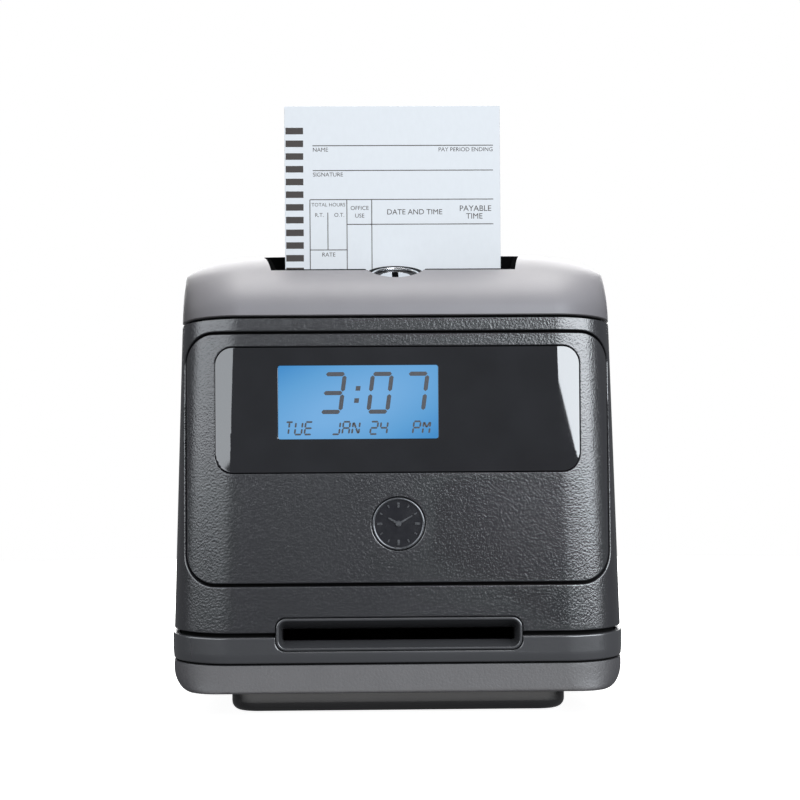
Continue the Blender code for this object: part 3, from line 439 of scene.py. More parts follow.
def runs(z):
    """Lengths along the section from EDGE_X to the middle of the back: corner, side, corner, back."""
    half = half_width(z)
    start = math.asin((EDGE_X - half + FRONT_RADIUS) / FRONT_RADIUS)
    corner = FRONT_RADIUS * (math.pi / 2 - start)
    side = REAR - FRONT - FRONT_RADIUS - REAR_RADIUS
    return start, (corner, side, REAR_RADIUS * math.pi / 2, half - REAR_RADIUS)


LAST = EDGE_X + sum(runs(0.11)[1])


def section_point(p, depth, z):
    """Where a plate's point lies: along the section, at a depth below its surface, at a height."""
    half = half_width(z)
    flat, s = half - FRONT_RADIUS, abs(p)
    reach = FRONT_RADIUS - depth
    if s <= flat:
        x, y = s, FRONT + depth
    elif s <= EDGE_X:
        a = math.asin(min((s - flat) / FRONT_RADIUS, 1.0))
        x, y = flat + reach * math.sin(a), FRONT + FRONT_RADIUS - reach * math.cos(a)
    else:
        start, lengths = runs(z)
        along = (s - EDGE_X) / (LAST - EDGE_X) * sum(lengths)
        corner, side, rear_corner, _ = lengths
        if along <= corner:
            a = start + along / FRONT_RADIUS
            x, y = flat + reach * math.sin(a), FRONT + FRONT_RADIUS - reach * math.cos(a)
        elif along <= corner + side:
            x, y = half - depth, FRONT + FRONT_RADIUS + along - corner
        elif along <= corner + side + rear_corner:
            a = (along - corner - side) / REAR_RADIUS
            x = half - REAR_RADIUS + (REAR_RADIUS - depth) * math.cos(a)
            y = REAR - REAR_RADIUS + (REAR_RADIUS - depth) * math.sin(a)
        else:
            x, y = sum(lengths) - along, REAR - depth
    return Vector((math.copysign(x, p), y, z))


def rear_param(x, z):
    """The plate coordinate of a point on the back face."""
    return LAST - x * (LAST - EDGE_X) / sum(runs(z)[1])


def round_corner(point):
    """How far round the front corner a point is: 0 on the front, 1 on the side."""
    return min(max((point.y - FRONT) / FRONT_RADIUS, 0.0), 1.0)


def corner_lift(point, z):
    """How far the lower seams' sweep raises a point of the walls."""
    if z < BAND_BOTTOM:
        share = (z - TRAY_LOW.z) / (BAND_BOTTOM - TRAY_LOW.z)
    else:
        share = 1 - max(z - CASE_BOTTOM, 0.0) / LIFT_FADE
    return CORNER_LIFT * min(max(share, 0.0), 1.0) * round_corner(point)


def slice_up(bm, reach, levels):
    """Slice a plate at these heights, and down both its sides as far as it reaches, so that it bends."""
    columns = []
    for start, end, step in ((0.0700, 0.1190, 0.0010), (LAST - 0.1180, LAST - 0.0790, 0.0015)):
        count = round((end - start) / step)
        columns += [start + step * i for i in range(count + 1) if start + step * i < reach]
    columns = [-at for at in columns] + columns
    for normal, places in (((1, 0, 0), columns), ((0, 0, 1), levels)):
        for at in places:
            geometry = bm.verts[:] + bm.edges[:] + bm.faces[:]
            point = Vector(normal) * at
            bmesh.ops.bisect_plane(bm, geom=geometry, dist=1e-7, plane_co=point, plane_no=normal)


def plate(outlines, thick, fillet, steps=3):
    """A flat plate in (along, depth, height). The first outline is the outer one, anticlockwise, and the
    rest are holes, clockwise. Ends at LAST stay open, because the wrapped plate joins itself there."""
    levels = quarter(fillet, steps) + [(0.0, thick)]
    bm = bmesh.new()
    faces_front, faces_back = [], []
    for outline in outlines:
        rows = []
        for inset, depth in levels:
            row = []
            for (p, z), (q, _) in zip(moved(outline, inset), outline):
                at_end = abs(abs(q) - LAST) < 1e-6
                row.append(bm.verts.new((q if at_end else p, depth, z)))
            rows.append(row)
        for one, two in zip(rows, rows[1:]):
            for i, vert in enumerate(one):
                j = (i + 1) % len(one)
                if abs(abs(vert.co.x) - LAST) < 1e-6 and abs(vert.co.x - one[j].co.x) < 1e-6:
                    continue
                bm.faces.new((vert, one[j], two[j], two[i]))
        faces_front.append(rows[0])
        faces_back.append(rows[-1])
    for loops in (faces_front, faces_back):
        verts = [vert for loop in loops for vert in loop]
        for triangle in tessellate_polygon([[Vector((v.co.x, v.co.z, 0.0)) for v in loop] for loop in loops]):
            if len(set(triangle)) == 3:
                bm.faces.new([verts[i] for i in triangle])
    return bm


def wrap(bm, step_in=STEP_IN, droop=True, swell=None):
    for vert in bm.verts:
        p, depth, z = vert.co
        if swell:
            depth += swell(z)
        point = section_point(p, depth + step_in, z)
        if droop and z > DROOP_FROM:
            share = min((z - DROOP_FROM) / (CASE_TOP - DROOP_FROM), 1.0)
            point.z -= SEAM_DROOP * share * round_corner(point)
        point.z += corner_lift(point, z)
        vert.co = point
    bmesh.ops.remove_doubles(bm, verts=bm.verts, dist=2e-6)
    return bm


def heights(low, high, step=0.005):
    count = max(int((high - low) / step), 1)
    return [low + (high - low) * i / count for i in range(1, count)]


def make_case():
    half, top, radius = SLOT_HALF + GAP, SLOT_TOP + GAP, SLOT_RADIUS
    bottom = [(-LAST, CASE_BOTTOM), (-half, CASE_BOTTOM)]
    bottom += arc((-half + radius, top - radius), radius, 180, 90, 8)
    bottom += arc((half - radius, top - radius), radius, 90, 0, 8)
    bottom += [(half, CASE_BOTTOM), (LAST, CASE_BOTTOM)]
    # the back's opening, half of it at each end of the plate
    rear_half = REAR_HIGH.x - REAR_MARGIN + REAR_GAP
    low, high = REAR_LOW.z + REAR_MARGIN - REAR_GAP, REAR_HIGH.z - REAR_MARGIN + REAR_GAP
    corner = REAR_CORNER + REAR_GAP
    notch = [(0.0, low)] + arc((rear_half - corner, low + corner), corner, -90, 0, 6)
    notch += arc((rear_half - corner, high - corner), corner, 0, 90, 6) + [(0.0, high)]
    right = [(rear_param(x, z), z) for x, z in notch]
    left = [(-p, z) for p, z in reversed(right)]
    outer = bottom + right + [(LAST, CASE_TOP), (-LAST, CASE_TOP)] + left
    half, groove = PANEL_HALF + PANEL_GROOVE_SIDE, PANEL_RADIUS + PANEL_GROOVE_SIDE
    window = rounded(-half, PANEL_BOTTOM - PANEL_GROOVE, half, PANEL_TOP + PANEL_GROOVE_TOP, groove, 16)
    bm = plate([outer, window[::-1]], WALL, 0.0005)
    slice_up(bm, LAST, heights(CASE_BOTTOM, CASE_TOP))
    place("case_shell", wrap(bm), "case", "chassis", "case", "front_case")
    # the rim that locates the cover, and the tongue that the case stands on, both in the painted-shadow black
    # that darkens the seams in front of them
    section = [(0.0040, -0.0024), (0.0040, 0.0021), (0.0044, 0.0025)]
    section += [(0.0051, 0.0025), (0.0055, 0.0021), (0.0055, -0.0024)]
    rim = [plan_loop(CASE_TOP + rise, inset) for inset, rise in section]
    place("case_rim", skin(rim, ring=True), "shadow", "chassis", "case")
    outside, inside = TONGUE_DEPTH + STEP_IN, TONGUE_DEPTH + 0.0018
    low, high = BAND_TOP - 0.0030, CASE_BOTTOM + 0.0030
    section = ((outside, low), (outside, high), (inside, high), (inside, low))
    tongue = [plan_loop(z, inset) for inset, z in section]
    cutter = block((-SLOT_HALF, FRONT - 0.004, 0.020), (SLOT_HALF, FRONT + 0.010, 0.050))
    place("band_tongue", subtract(skin(tongue, ring=True), cutter), "shadow", "chassis", "band")


def plan_loop(
    z, inset=0.0, front=0.0, rear=0.0, side=0.0, front_radius=None, rear_radius=None, steps=(16, 10)
):
    """A section of the case at a height, moved in all round and by more at its front, back or sides."""
    front_radius = FRONT_RADIUS - inset if front_radius is None else front_radius
    rear_radius = REAR_RADIUS - inset if rear_radius is None else rear_radius
    half, low, high = half_width(z) - inset - side, FRONT + inset + front, REAR - inset - rear
    corners = (
        (half - front_radius, low + front_radius, front_radius, -90, steps[0]),
        (half - rear_radius, high - rear_radius, rear_radius, 0, steps[1]),
        (rear_radius - half, high - rear_radius, rear_radius, 90, steps[1]),
        (front_radius - half, low + front_radius, front_radius, 180, steps[0]),
    )
    arcs = [arc((x, y), radius, start, start + 90, count) for x, y, radius, start, count in corners]
    return [(x, y, z) for x, y in sum(arcs, [])]


def make_band():
    half, low, radius = SLOT_HALF + GAP, SLOT_BOTTOM - GAP, SLOT_RADIUS
    outer = [(-LAST, BAND_BOTTOM), (LAST, BAND_BOTTOM), (LAST, BAND_TOP), (half, BAND_TOP)]
    outer += arc((half - radius, low + radius), radius, 0, -90, 8)
    outer += arc((radius - half, low + radius), radius, -90, -180, 8)
    outer += [(-half, BAND_TOP), (-LAST, BAND_TOP)]

    def swell(z):
        """The band's lower lip falls back a little."""
        below = max(BAND_BOTTOM + 0.0042 - z, 0.0) / 0.0042
        return 0.0004 * below ** 1.5

    bm = plate([outer], WALL, 0.0006)
    slice_up(bm, LAST, heights(BAND_BOTTOM, BAND_TOP, 0.0008))
    place("band_shell", wrap(bm, 0.0, False, swell), "band", "chassis", "band", "lower_band")


def make_panel():
    face = rounded(-PANEL_HALF, PANEL_BOTTOM, PANEL_HALF, PANEL_TOP, PANEL_RADIUS, 16)
    half, gap = LENS_HALF + LENS_GAP, LENS_GAP
    lens_hole = rounded(-half, LENS_LOW.z - gap, half, LENS_HIGH.z + gap, LENS_RADIUS + gap)
    badge_hole = circle(BADGE_RADIUS + GAP, 72, (0.0, BADGE_Z))
    bm = plate([face, lens_hole[::-1], badge_hole[::-1]], 0.0030, 0.0005)
    slice_up(bm, PANEL_HALF, heights(PANEL_BOTTOM, PANEL_TOP))
    place("panel_face", wrap(bm), "case", "chassis", "case", "front_panel")
    # The backing behind the panel's groove is painted shadow: near-black, so that the groove reads dark.
    half = PANEL_HALF + PANEL_GROOVE
    backing = rounded(-half, PANEL_BOTTOM - PANEL_FLANGE, half, PANEL_TOP + PANEL_FLANGE, PANEL_RADIUS, 8)
    bm = plate([backing], 0.0012, 0.0002, 1)
    slice_up(bm, half, heights(PANEL_BOTTOM, PANEL_TOP, 0.010))
    for vert in bm.verts:
        vert.co.y += 0.0032
    place("panel_backing", wrap(bm), "shadow", "chassis", "case")


def make_lens():
    face = rounded(-LENS_HALF, LENS_LOW.z, LENS_HALF, LENS_HIGH.z, LENS_RADIUS)
    window = rounded(LCD_LEFT, LCD_BOTTOM, LCD_RIGHT, LCD_TOP, 0.0011, 6)
    bm = plate([face, window[::-1]], LENS_THICK, 0.00015, 2)
    slice_up(bm, LENS_HALF, heights(LENS_LOW.z, LENS_HIGH.z))
    place("lens_glass", wrap(bm), "lens", "chassis", "lens", "display_lens")
    glass = rounded(LCD_LEFT + 0.0001, LCD_BOTTOM + 0.0001, LCD_RIGHT - 0.0001, LCD_TOP - 0.0001, 0.0010, 6)
    front = FRONT + STEP_IN
    bm = prism(glass[::-1], front + 0.00025, front + 0.0022)
    place("lcd_glass", bm, "lcd", "chassis", "lcd", "lcd_module")


# Display segments

SLANT = math.tan(math.radians(7.5))
SEGMENTS = {
    "0": "abcdef", "2": "abged", "3": "abgcd", "4": "fgbc", "7": "abc", "T": "ail", "U": "fedcb",
    "E": "afged", "J": "bcd", "A": "fabgec", "N": "fehmbc", "P": "afbge", "M": "fehjbc",
}


def segment_bars(size, stroke):
    """Centre lines of a character's bars on a cell, as (start, end)."""
    width, height = size
    left, right, low, mid, high = 0.0, width, 0.0, height / 2, height
    gap = stroke * 0.32
    middle = width / 2
    return {
        "a": ((left, high), (right, high)),
        "g": ((left, mid), (right, mid)),
        "d": ((left, low), (right, low)),
        "f": ((left, mid + gap), (left, high - gap)),
        "b": ((right, mid + gap), (right, high - gap)),
        "e": ((left, low + gap), (left, mid - gap)),
        "c": ((right, low + gap), (right, mid - gap)),
        "i": ((middle, mid + gap), (middle, high - gap)),
        "l": ((middle, low + gap), (middle, mid - gap)),
        "h": ((left + gap, high - gap), (middle, mid)),
        "j": ((right - gap, high - gap), (middle, mid)),
        "m": ((middle, mid), (right - gap, low + gap)),
    }


def bar_outline(start, end, stroke):
    """A bar with pointed ends."""
    one, two = Vector(start), Vector(end)
    along = (two - one).normalized()
    across = Vector((-along.y, along.x)) * (stroke / 2)
    tip = along * (stroke * 0.42)
    points = [one, one + tip - across, two - tip - across, two, two - tip + across, one + tip + across]
    return [(p.x, p.y) for p in points]


def add_prism(bm, outline, depth_low, depth_high):
    """Add a thin slab standing off a front-facing surface. The outline is (x, z) pairs."""
    rows = [[bm.verts.new((x, y, z)) for x, z in outline] for y in (depth_low, depth_high)]
    for i in range(len(outline)):
        j = (i + 1) % len(outline)
        bm.faces.new((rows[0][i], rows[0][j], rows[1][j], rows[1][i]))
    bm.faces.new(rows[0][::-1])
    bm.faces.new(rows[1])


def lettering(bm, text, left, bottom, size, stroke, pitch, front):
    """Draw display characters from a left edge and base line, slanted to the right."""
    for i, letter in enumerate(text):
        bars = segment_bars(size, stroke)
        for name in SEGMENTS[letter]:
            outline = bar_outline(*bars[name], stroke)
            moved_points = [(left + i * pitch + x + z * SLANT, bottom + z) for x, z in outline]
            add_prism(bm, moved_points, front, front + 0.0001)


def make_segments():
    front = FRONT + STEP_IN + 0.00018
    bm = bmesh.new()
    clock_line, day_line = 0.1370, 0.1269
    size, stroke, dot = (0.0085, 0.0170), 0.0019, 0.0021
    for text, left in (("3", -0.0345), ("0", -0.0133), ("7", 0.0028)):
        lettering(bm, text, left, clock_line, size, stroke, 0.0, front)
    for z in (0.1410, 0.1465):
        x = -0.0203 + (z - clock_line) * SLANT
        lean = dot * SLANT
        corners = [(x, z), (x + dot, z), (x + dot + lean, z + dot), (x + lean, z + dot)]
        add_prism(bm, corners, front, front + 0.0001)
    size, stroke = (0.0030, 0.0056), 0.0008
    for text, left in (("TUE", -0.0510), ("JAN", -0.0296), ("24", -0.0126), ("PM", 0.0066)):
        lettering(bm, text, left, day_line, size, stroke, 0.0044, front)
    place("lcd_segments", bm, "segment", "chassis", "lcd", weighted=False)


# Badge, exit slot, base and foot

def make_badge():
    """A plain clock dial sunk in the panel: disc, ring, hour marks and two hands."""
    centre_z, radius, front = BADGE_Z, BADGE_RADIUS, BADGE_LOW.y + STEP_IN
    bm = prism(circle(radius, 72, (0.0, centre_z)), front + 0.0003, front + 0.0012, 0.0001, 1)
    place("badge_dial", bm, "badge", "chassis", "badge", "badge_disc")
    profile = [(radius - 0.0012, 0.0), *arc((radius - 0.0006, 0.0001), 0.0006, 180, 0, 6)]
    profile += [(radius, -0.0002), (radius - 0.0012, -0.0002)]
    bm = turned(profile, (0.0, front + 0.0004, centre_z), (0, -1, 0), 96, ring=True)
    place("badge_ring", bm, "badge_metal", "chassis", "badge")
    bm = bmesh.new()
    for hour in range(12):
        a = math.radians(30 * hour)
        outer, inner = radius - 0.0022, radius - (0.0046 if hour % 3 == 0 else 0.0036)
        start = (inner * math.sin(a), centre_z + inner * math.cos(a))
        end = (outer * math.sin(a), centre_z + outer * math.cos(a))
        width = 0.0010 if hour % 3 == 0 else 0.0006
        add_prism(bm, hand_outline(start, end, width, width), front, front + 0.0004)
    for angle, reach, width in ((-60, 0.0052, 0.0012), (60, 0.0072, 0.0010)):
        a = math.radians(angle)
        start = (-0.0012 * math.sin(a), centre_z - 0.0012 * math.cos(a))
        end = (reach * math.sin(a), centre_z + reach * math.cos(a))
        add_prism(bm, hand_outline(start, end, width, width * 0.5), front - 0.0001, front + 0.0004)
    add_prism(bm, circle(0.0013, 24, (0.0, centre_z)), front - 0.0003, front + 0.0004)
    place("badge_hands", bm, "badge_metal", "chassis", "badge", weighted=False)


def hand_outline(start, end, wide, narrow):
    """A bar that tapers from its start to its end."""
    one, two = Vector(start), Vector(end)
    along = (two - one).normalized()
    across = Vector((-along.y, along.x))
    broad, fine = across * wide / 2, across * narrow / 2
    return [(p.x, p.y) for p in (one - broad, two - fine, two + fine, one + broad)]


def make_slot():
    """The flared mouth of the exit slot: rounded lip, flare and throat."""
    outer = rounded(-SLOT_HALF, SLOT_BOTTOM, SLOT_HALF, SLOT_TOP, SLOT_RADIUS, 10)
    mouth = rounded(-MOUTH_HALF, MOUTH_BOTTOM, MOUTH_HALF, MOUTH_TOP, 0.0010, 10)
    lip = moved(outer, 0.0013)
    front = FRONT + STEP_IN * 0.5
    levels = [(outer, 0.0105)]
    levels += [(moved(outer, inset), depth) for depth, inset in quarter(0.0005, 4)]
    for i in range(4):
        a = math.radians(i * 20)
        levels.append((moved(lip, -0.0005 * (1 - math.sin(a))), 0.0005 * (1 - math.cos(a))))
    for share in (0.2, 0.4, 0.6, 0.8, 1.0):
        outline = [(a + (c - a) * share, b + (d - b) * share) for (a, b), (c, d) in zip(lip, mouth)]
        levels.append((outline, 0.0006 + 0.0076 * share ** 1.15))
    levels.append((mouth, 0.0105))
    loops = [[(x, front + depth, z) for x, z in outline] for outline, depth in levels]
    place("slot_mouth", skin(loops, ring=True), "band", "chassis", "black", "slot_bezel", smooth=50)


def make_base():
    """The tray: a broad round along its sides and a tight one along its front."""
    bottom, top = TRAY_LOW.z, BAND_BOTTOM - 0.0008
    edge, front_round = 0.0004, 0.0018
    loops = [plan_loop(bottom, edge, 0.0050, 0.0050, 0.0130)]
    for inward, upward in quarter(1.0, 12):
        side, z = 0.0088 * inward, bottom + 0.0094 * upward
        fall = max(1 - (z - bottom) / front_round, 0.0)
        face = front_round * (1 - math.sqrt(1 - fall ** 2))
        radius = FRONT_RADIUS - edge - side * 1.7
        loops.append(plan_loop(z, edge, face, face, side, radius, REAR_RADIUS - edge - side))
    lip, inner = top + 0.0036, TONGUE_DEPTH + TONGUE_THICK
    for inset, z in (
        (edge, top - 0.0004), (0.0005, top - 0.0001), (0.0008, top), (TONGUE_DEPTH, top), (TONGUE_DEPTH, lip),
        (inner, lip), (inner, bottom + 0.0090), (0.0110, bottom + 0.0030),
    ):
        loops.append(plan_loop(z, inset))
    loops = [[Vector(point) for point in loop] for loop in loops]
    for loop in loops:
        for point in loop:
            point.z += corner_lift(point, point.z)
    place("base_shell", skin(loops), "base", "chassis", "base", "base_tray")
    # A ring of painted shadow just inside the seam between the base and the band, which darkens the gap.
    ring = []
    for inset, rise in ((0.0014, 0.0001), (0.0014, 0.0007), (0.0027, 0.0007), (0.0027, 0.0001)):
        ring.append([Vector(point) for point in plan_loop(top + rise, inset)])
        for point in ring[-1]:
            point.z += corner_lift(point, top)
    place("base_seam", skin(ring, ring=True), "shadow", "chassis", "base")


def make_foot():
    """The plinth, with a recess under its rounded skirt, and its rubber feet."""
    wider, skirt = Vector((0.0010, 0.0, 0.0)), 0.0004
    low, high = PLINTH_LOW - wider, PLINTH_HIGH + wider
    levels = [(0.0066, 0.0018), (0.0064, 0.0006), (0.0062, skirt)]
    levels += [(inset, skirt + rise) for inset, rise in quarter(0.0045, 8)] + [(0.0, high.z)]
    loops = []
    for inset, z in levels:
        sides = (low.x + inset, low.y + inset, high.x - inset, high.y - inset)
        loops.append([(x, y, z) for x, y in rounded(*sides, 0.0110 - inset * 0.5)])
    place("foot_shell", skin(loops), "foot", "chassis", "foot", "foot_plinth")
    for side in ("front_left", "front_right", "rear_left", "rear_right"):
        node = f"rubber_foot_{side}"
        low_foot, high_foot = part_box(node)
        x, y = (low_foot.x + high_foot.x) / 2, (low_foot.y + high_foot.y) / 2
        radius, height = (high_foot.x - low_foot.x) / 2, high_foot.z
        profile = [(radius * 0.55, 0.0003), (radius * 0.62, 0.0)]
        profile += arc((radius - 0.0007, 0.0007), 0.0007, -90, 0, 4) + [(radius, height)]
        bm = turned(profile, (x, y, 0.0), (0, 0, 1), 40)
        place(f"foot_pad_{side}", bm, "rubber", "chassis", "rubber", node)


# Top cover, throat and lock

POCKET_FRONT, POCKET_REAR = THROAT_LOW.y - GAP, THROAT_HIGH.y + GAP
POCKET_HALF = THROAT_HIGH.x + GAP
POCKET_FRONT_HALF = POCKET_HALF - 0.0050
POCKET_LEFT = 0.0022        # the pocket reaches this much further to the left
POCKET_FLOOR = THROAT_LOW.z + 0.0020
CARD_SLOT_HALF = 0.0525
ABOVE_COVER = 0.230         # where the cutters that open upwards end
COVER_STEPS = 26


def pocket_ring(z, front, rear, front_half, rear_half):
    """The pocket's outline at a height: wider at its back, and further out on its left."""
    return [
        (-front_half - POCKET_LEFT, front, z), (front_half, front, z),
        (rear_half, rear, z), (-rear_half - POCKET_LEFT, rear, z),
    ]


def roll_height(climb):
    return ROLL_FROM + (COVER_TOP - ROLL_FROM) * climb


def cover_loop(climb, inset):
    """A section of the cover where its roll has climbed a share of its height."""
    z = roll_height(climb)
    front = ROLL_DEPTH * (1 - math.sqrt(max(1 - climb ** 2, 0.0)))
    side = rear = 0.0
    if z > SHOULDER_FROM:
        up = min((z - SHOULDER_FROM) / (COVER_TOP - SHOULDER_FROM), 1.0)
        side = SHOULDER_WIDTH * (1 - (1 - up ** SHOULDER_POWER) ** (1 / SHOULDER_POWER))
    if z > TAIL_FROM:
        up = min((z - TAIL_FROM) / (COVER_TOP - TAIL_FROM), 1.0)
        rear = TAIL_DEPTH * (1 - math.sqrt(1 - up ** 2))
    whole = inset + STEP_IN
    points = plan_loop(z, whole, front, rear, side, FRONT_RADIUS - whole, REAR_RADIUS - whole, (18, 10))
    return [Vector((x, y, z - inset)) for x, y, _ in points]


def at_seam(loop, rise=0.0):
    """A loop brought down to the seam, which dips round the front corners."""
    base = COVER_LOW.z + SEAM_RISE + rise
    return [Vector((point.x, point.y, base - SEAM_DROOP * round_corner(point))) for point in loop]


def lock_bore(radius):
    """A cutter for the lock's well, longer than any wall it goes through."""
    return turned([(radius, -0.030), (radius, 0.030)], LOCK_CENTRE, LOCK_AXIS, steps=72)


def make_cover():
    """The cover's shell, from its top down its outside and up its inside, less its pocket and lock well."""
    climbs = [math.sin(math.radians(90) * i / COVER_STEPS) for i in range(COVER_STEPS + 1)]
    start, edge = max((COVER_LOW.z - ROLL_FROM) / (COVER_TOP - ROLL_FROM), 0.0), 0.0004
    outside = [cover_loop(climb, 0.0) for climb in climbs[::-1] if roll_height(climb) > COVER_LOW.z + 0.0022]
    seam = at_seam(cover_loop(start, 0.0), edge)
    outside.append(seam)
    drop = Vector((0, 0, edge))
    inwards = [(Vector((0, 0.002, point.z)) - point).normalized() for point in seam]
    outside.append([point + inward * edge - drop for point, inward in zip(seam, inwards)])
    inside = [at_seam(cover_loop(start, WALL))]
    inside += [cover_loop(climb, WALL) for climb in climbs[::2] if roll_height(climb) > COVER_LOW.z + 0.0040]
    bm = skin(outside + inside)
    sides = (POCKET_FRONT, POCKET_REAR, POCKET_FRONT_HALF, POCKET_HALF)
    pocket = skin([pocket_ring(z, *sides) for z in (0.150, 0.240)])
    bm = subtract(bm, pocket, lock_bore(WELL_RADIUS))

    def on_rim(edge):
        middle = (edge.verts[0].co + edge.verts[1].co) / 2
        beside = abs(middle.x) < POCKET_HALF + POCKET_LEFT + 0.001
        between = POCKET_FRONT - 0.012 < middle.y < POCKET_REAR + 0.001
        return beside and between and middle.z > 0.192 and surface_height(middle.y) - middle.z < 0.0012

    round_edges(bm, on_rim, 0.0006)
    place("cover_shell", bm, "cover", "cover", "cover", "top_cover", smooth=36)


def surface_height(y):
    """Height of the roll's surface on the cover's middle line."""
    across = 1 - (y - STEP_IN - FRONT) / ROLL_DEPTH
    return roll_height(math.sqrt(max(1 - max(across, 0.0) ** 2, 0.0)))


def make_throat():
    """The black tray in the cover's pocket, with the card slot in its floor. It is drawn in the
    painted-shadow black, darker than its own plastic and without reflections, as the shade in the pocket.
    """
    front, rear, wall = POCKET_FRONT + GAP, POCKET_REAR - GAP, 0.0018
    count = 10
    rows = []
    for i in range(count + 1):
        share = i / count
        y = front + (rear - front) * share
        half = POCKET_FRONT_HALF + (POCKET_HALF - POCKET_FRONT_HALF) * share - GAP
        top, low = surface_height(y) - 0.0002, POCKET_FLOOR - 0.0020
        left = -half - POCKET_LEFT
        rows.append([(left, y, low), (half, y, low), (half, y, top), (left, y, top)])
    bm = skin(rows)
    half_front, half_rear = POCKET_FRONT_HALF - GAP - wall, POCKET_HALF - GAP - wall
    sides = (front + wall, rear - wall, half_front, half_rear)
    inner = skin([pocket_ring(z, *sides) for z in (POCKET_FLOOR, ABOVE_COVER)])
    card_y = (CARD_LOW.y + CARD_HIGH.y) / 2
    low, high = (-CARD_SLOT_HALF, card_y - 0.0024, 0.180), (CARD_SLOT_HALF, card_y + 0.0016, ABOVE_COVER)
    bm = subtract(bm, inner, block(low, high, 0.0008), lock_bore(WELL_RADIUS + 0.0002))
    round_edges(bm, lambda edge: True, 0.0003, 2)
    place("throat_tray", bm, "shadow", "cover", "black", "card_throat")


def make_lock():
    """A chrome ring round a sunk black collar, with the plug's face and its keyway in the middle."""
    cup = [(0.0138, -0.0085), (0.0138, -0.0010), (0.0134, -0.0006), (0.0130, -0.0010), (0.0127, -0.0070),
           (0.0122, -0.0074), (0.0068, -0.0074), (0.0068, -0.0085)]
    place("lock_cup", turned(cup, LOCK_CENTRE, LOCK_AXIS, ring=True), "black", "cover", "black", "lock_well")
    centre = LOCK_CENTRE - LOCK_AXIS * LOCK_SINK
    ring = [(0.0104, -0.0060), (0.0115, -0.0060), (0.0117, -0.0010)]
    ring += arc((0.0111, -0.0004), 0.0006, -10, 190, 12) + [(0.0105, -0.0012)]
    bm = turned(ring, centre, LOCK_AXIS, 96, ring=True)
    place("lock_ring", bm, "chrome", "cover", "chrome", "lock_bezel")
    collar = [(0.0080, -0.0060), (0.0102, -0.0060), (0.0102, -0.0012), (0.0098, -0.0014)]
    collar += [(0.0086, -0.0017), (0.0082, -0.0019), (0.0080, -0.0022)]
    place("lock_collar", turned(collar, centre, LOCK_AXIS, 96, ring=True), "black", "cover", "black")
    plug = [(0.0060, -0.0130), (0.0060, -0.0045), (0.0076, -0.0045), (0.0077, -0.0018)]
    plug += arc((0.0070, -0.0016), 0.0007, 10, 90, 5) + [(0.0040, -0.00085), (0.0001, -0.00080)]
    body = turned(plug, centre, LOCK_AXIS, 72)
    keyway = block((-0.0015, -0.0072, -0.0040), (0.0015, 0.0072, 0.0020), 0.0003)
    turn = Matrix.Translation(centre) @ LOCK_AXIS.to_track_quat("Z", "Y").to_matrix().to_4x4()
    bmesh.ops.transform(keyway, matrix=turn, verts=keyway.verts)
    place("lock_face", subtract(body, keyway), "chrome", "lock", "steel", "lock_plug")
    # A block of painted shadow under the plug's face fills the keyway, so that it reads as a dark hole.
    shade = block((-0.00145, -0.0070, -0.0038), (0.00145, 0.0070, -0.0013), 0.0001)
    bmesh.ops.transform(shade, matrix=turn, verts=shade.verts)
    place("lock_keyway", shade, "shadow", "lock", "black")


# Time card

def text_mesh(words, size, x, z, front, align="LEFT"):
    """Printed words as thin letters on the card's face."""
    curve = bpy.data.curves.new("words", "FONT")
    curve.body = words
    curve.size = size
    curve.align_x = align
    curve.extrude = 0.00001
    curve.resolution_u = 4
    made = show("words", curve)
    bpy.context.view_layer.update()
    mesh = bpy.data.meshes.new_from_object(made.evaluated_get(bpy.context.evaluated_depsgraph_get()))
    mesh.transform(Matrix.Translation((x, front, z)) @ Matrix.Rotation(math.radians(90), 4, "X"))
    bpy.data.objects.remove(made)
    return mesh


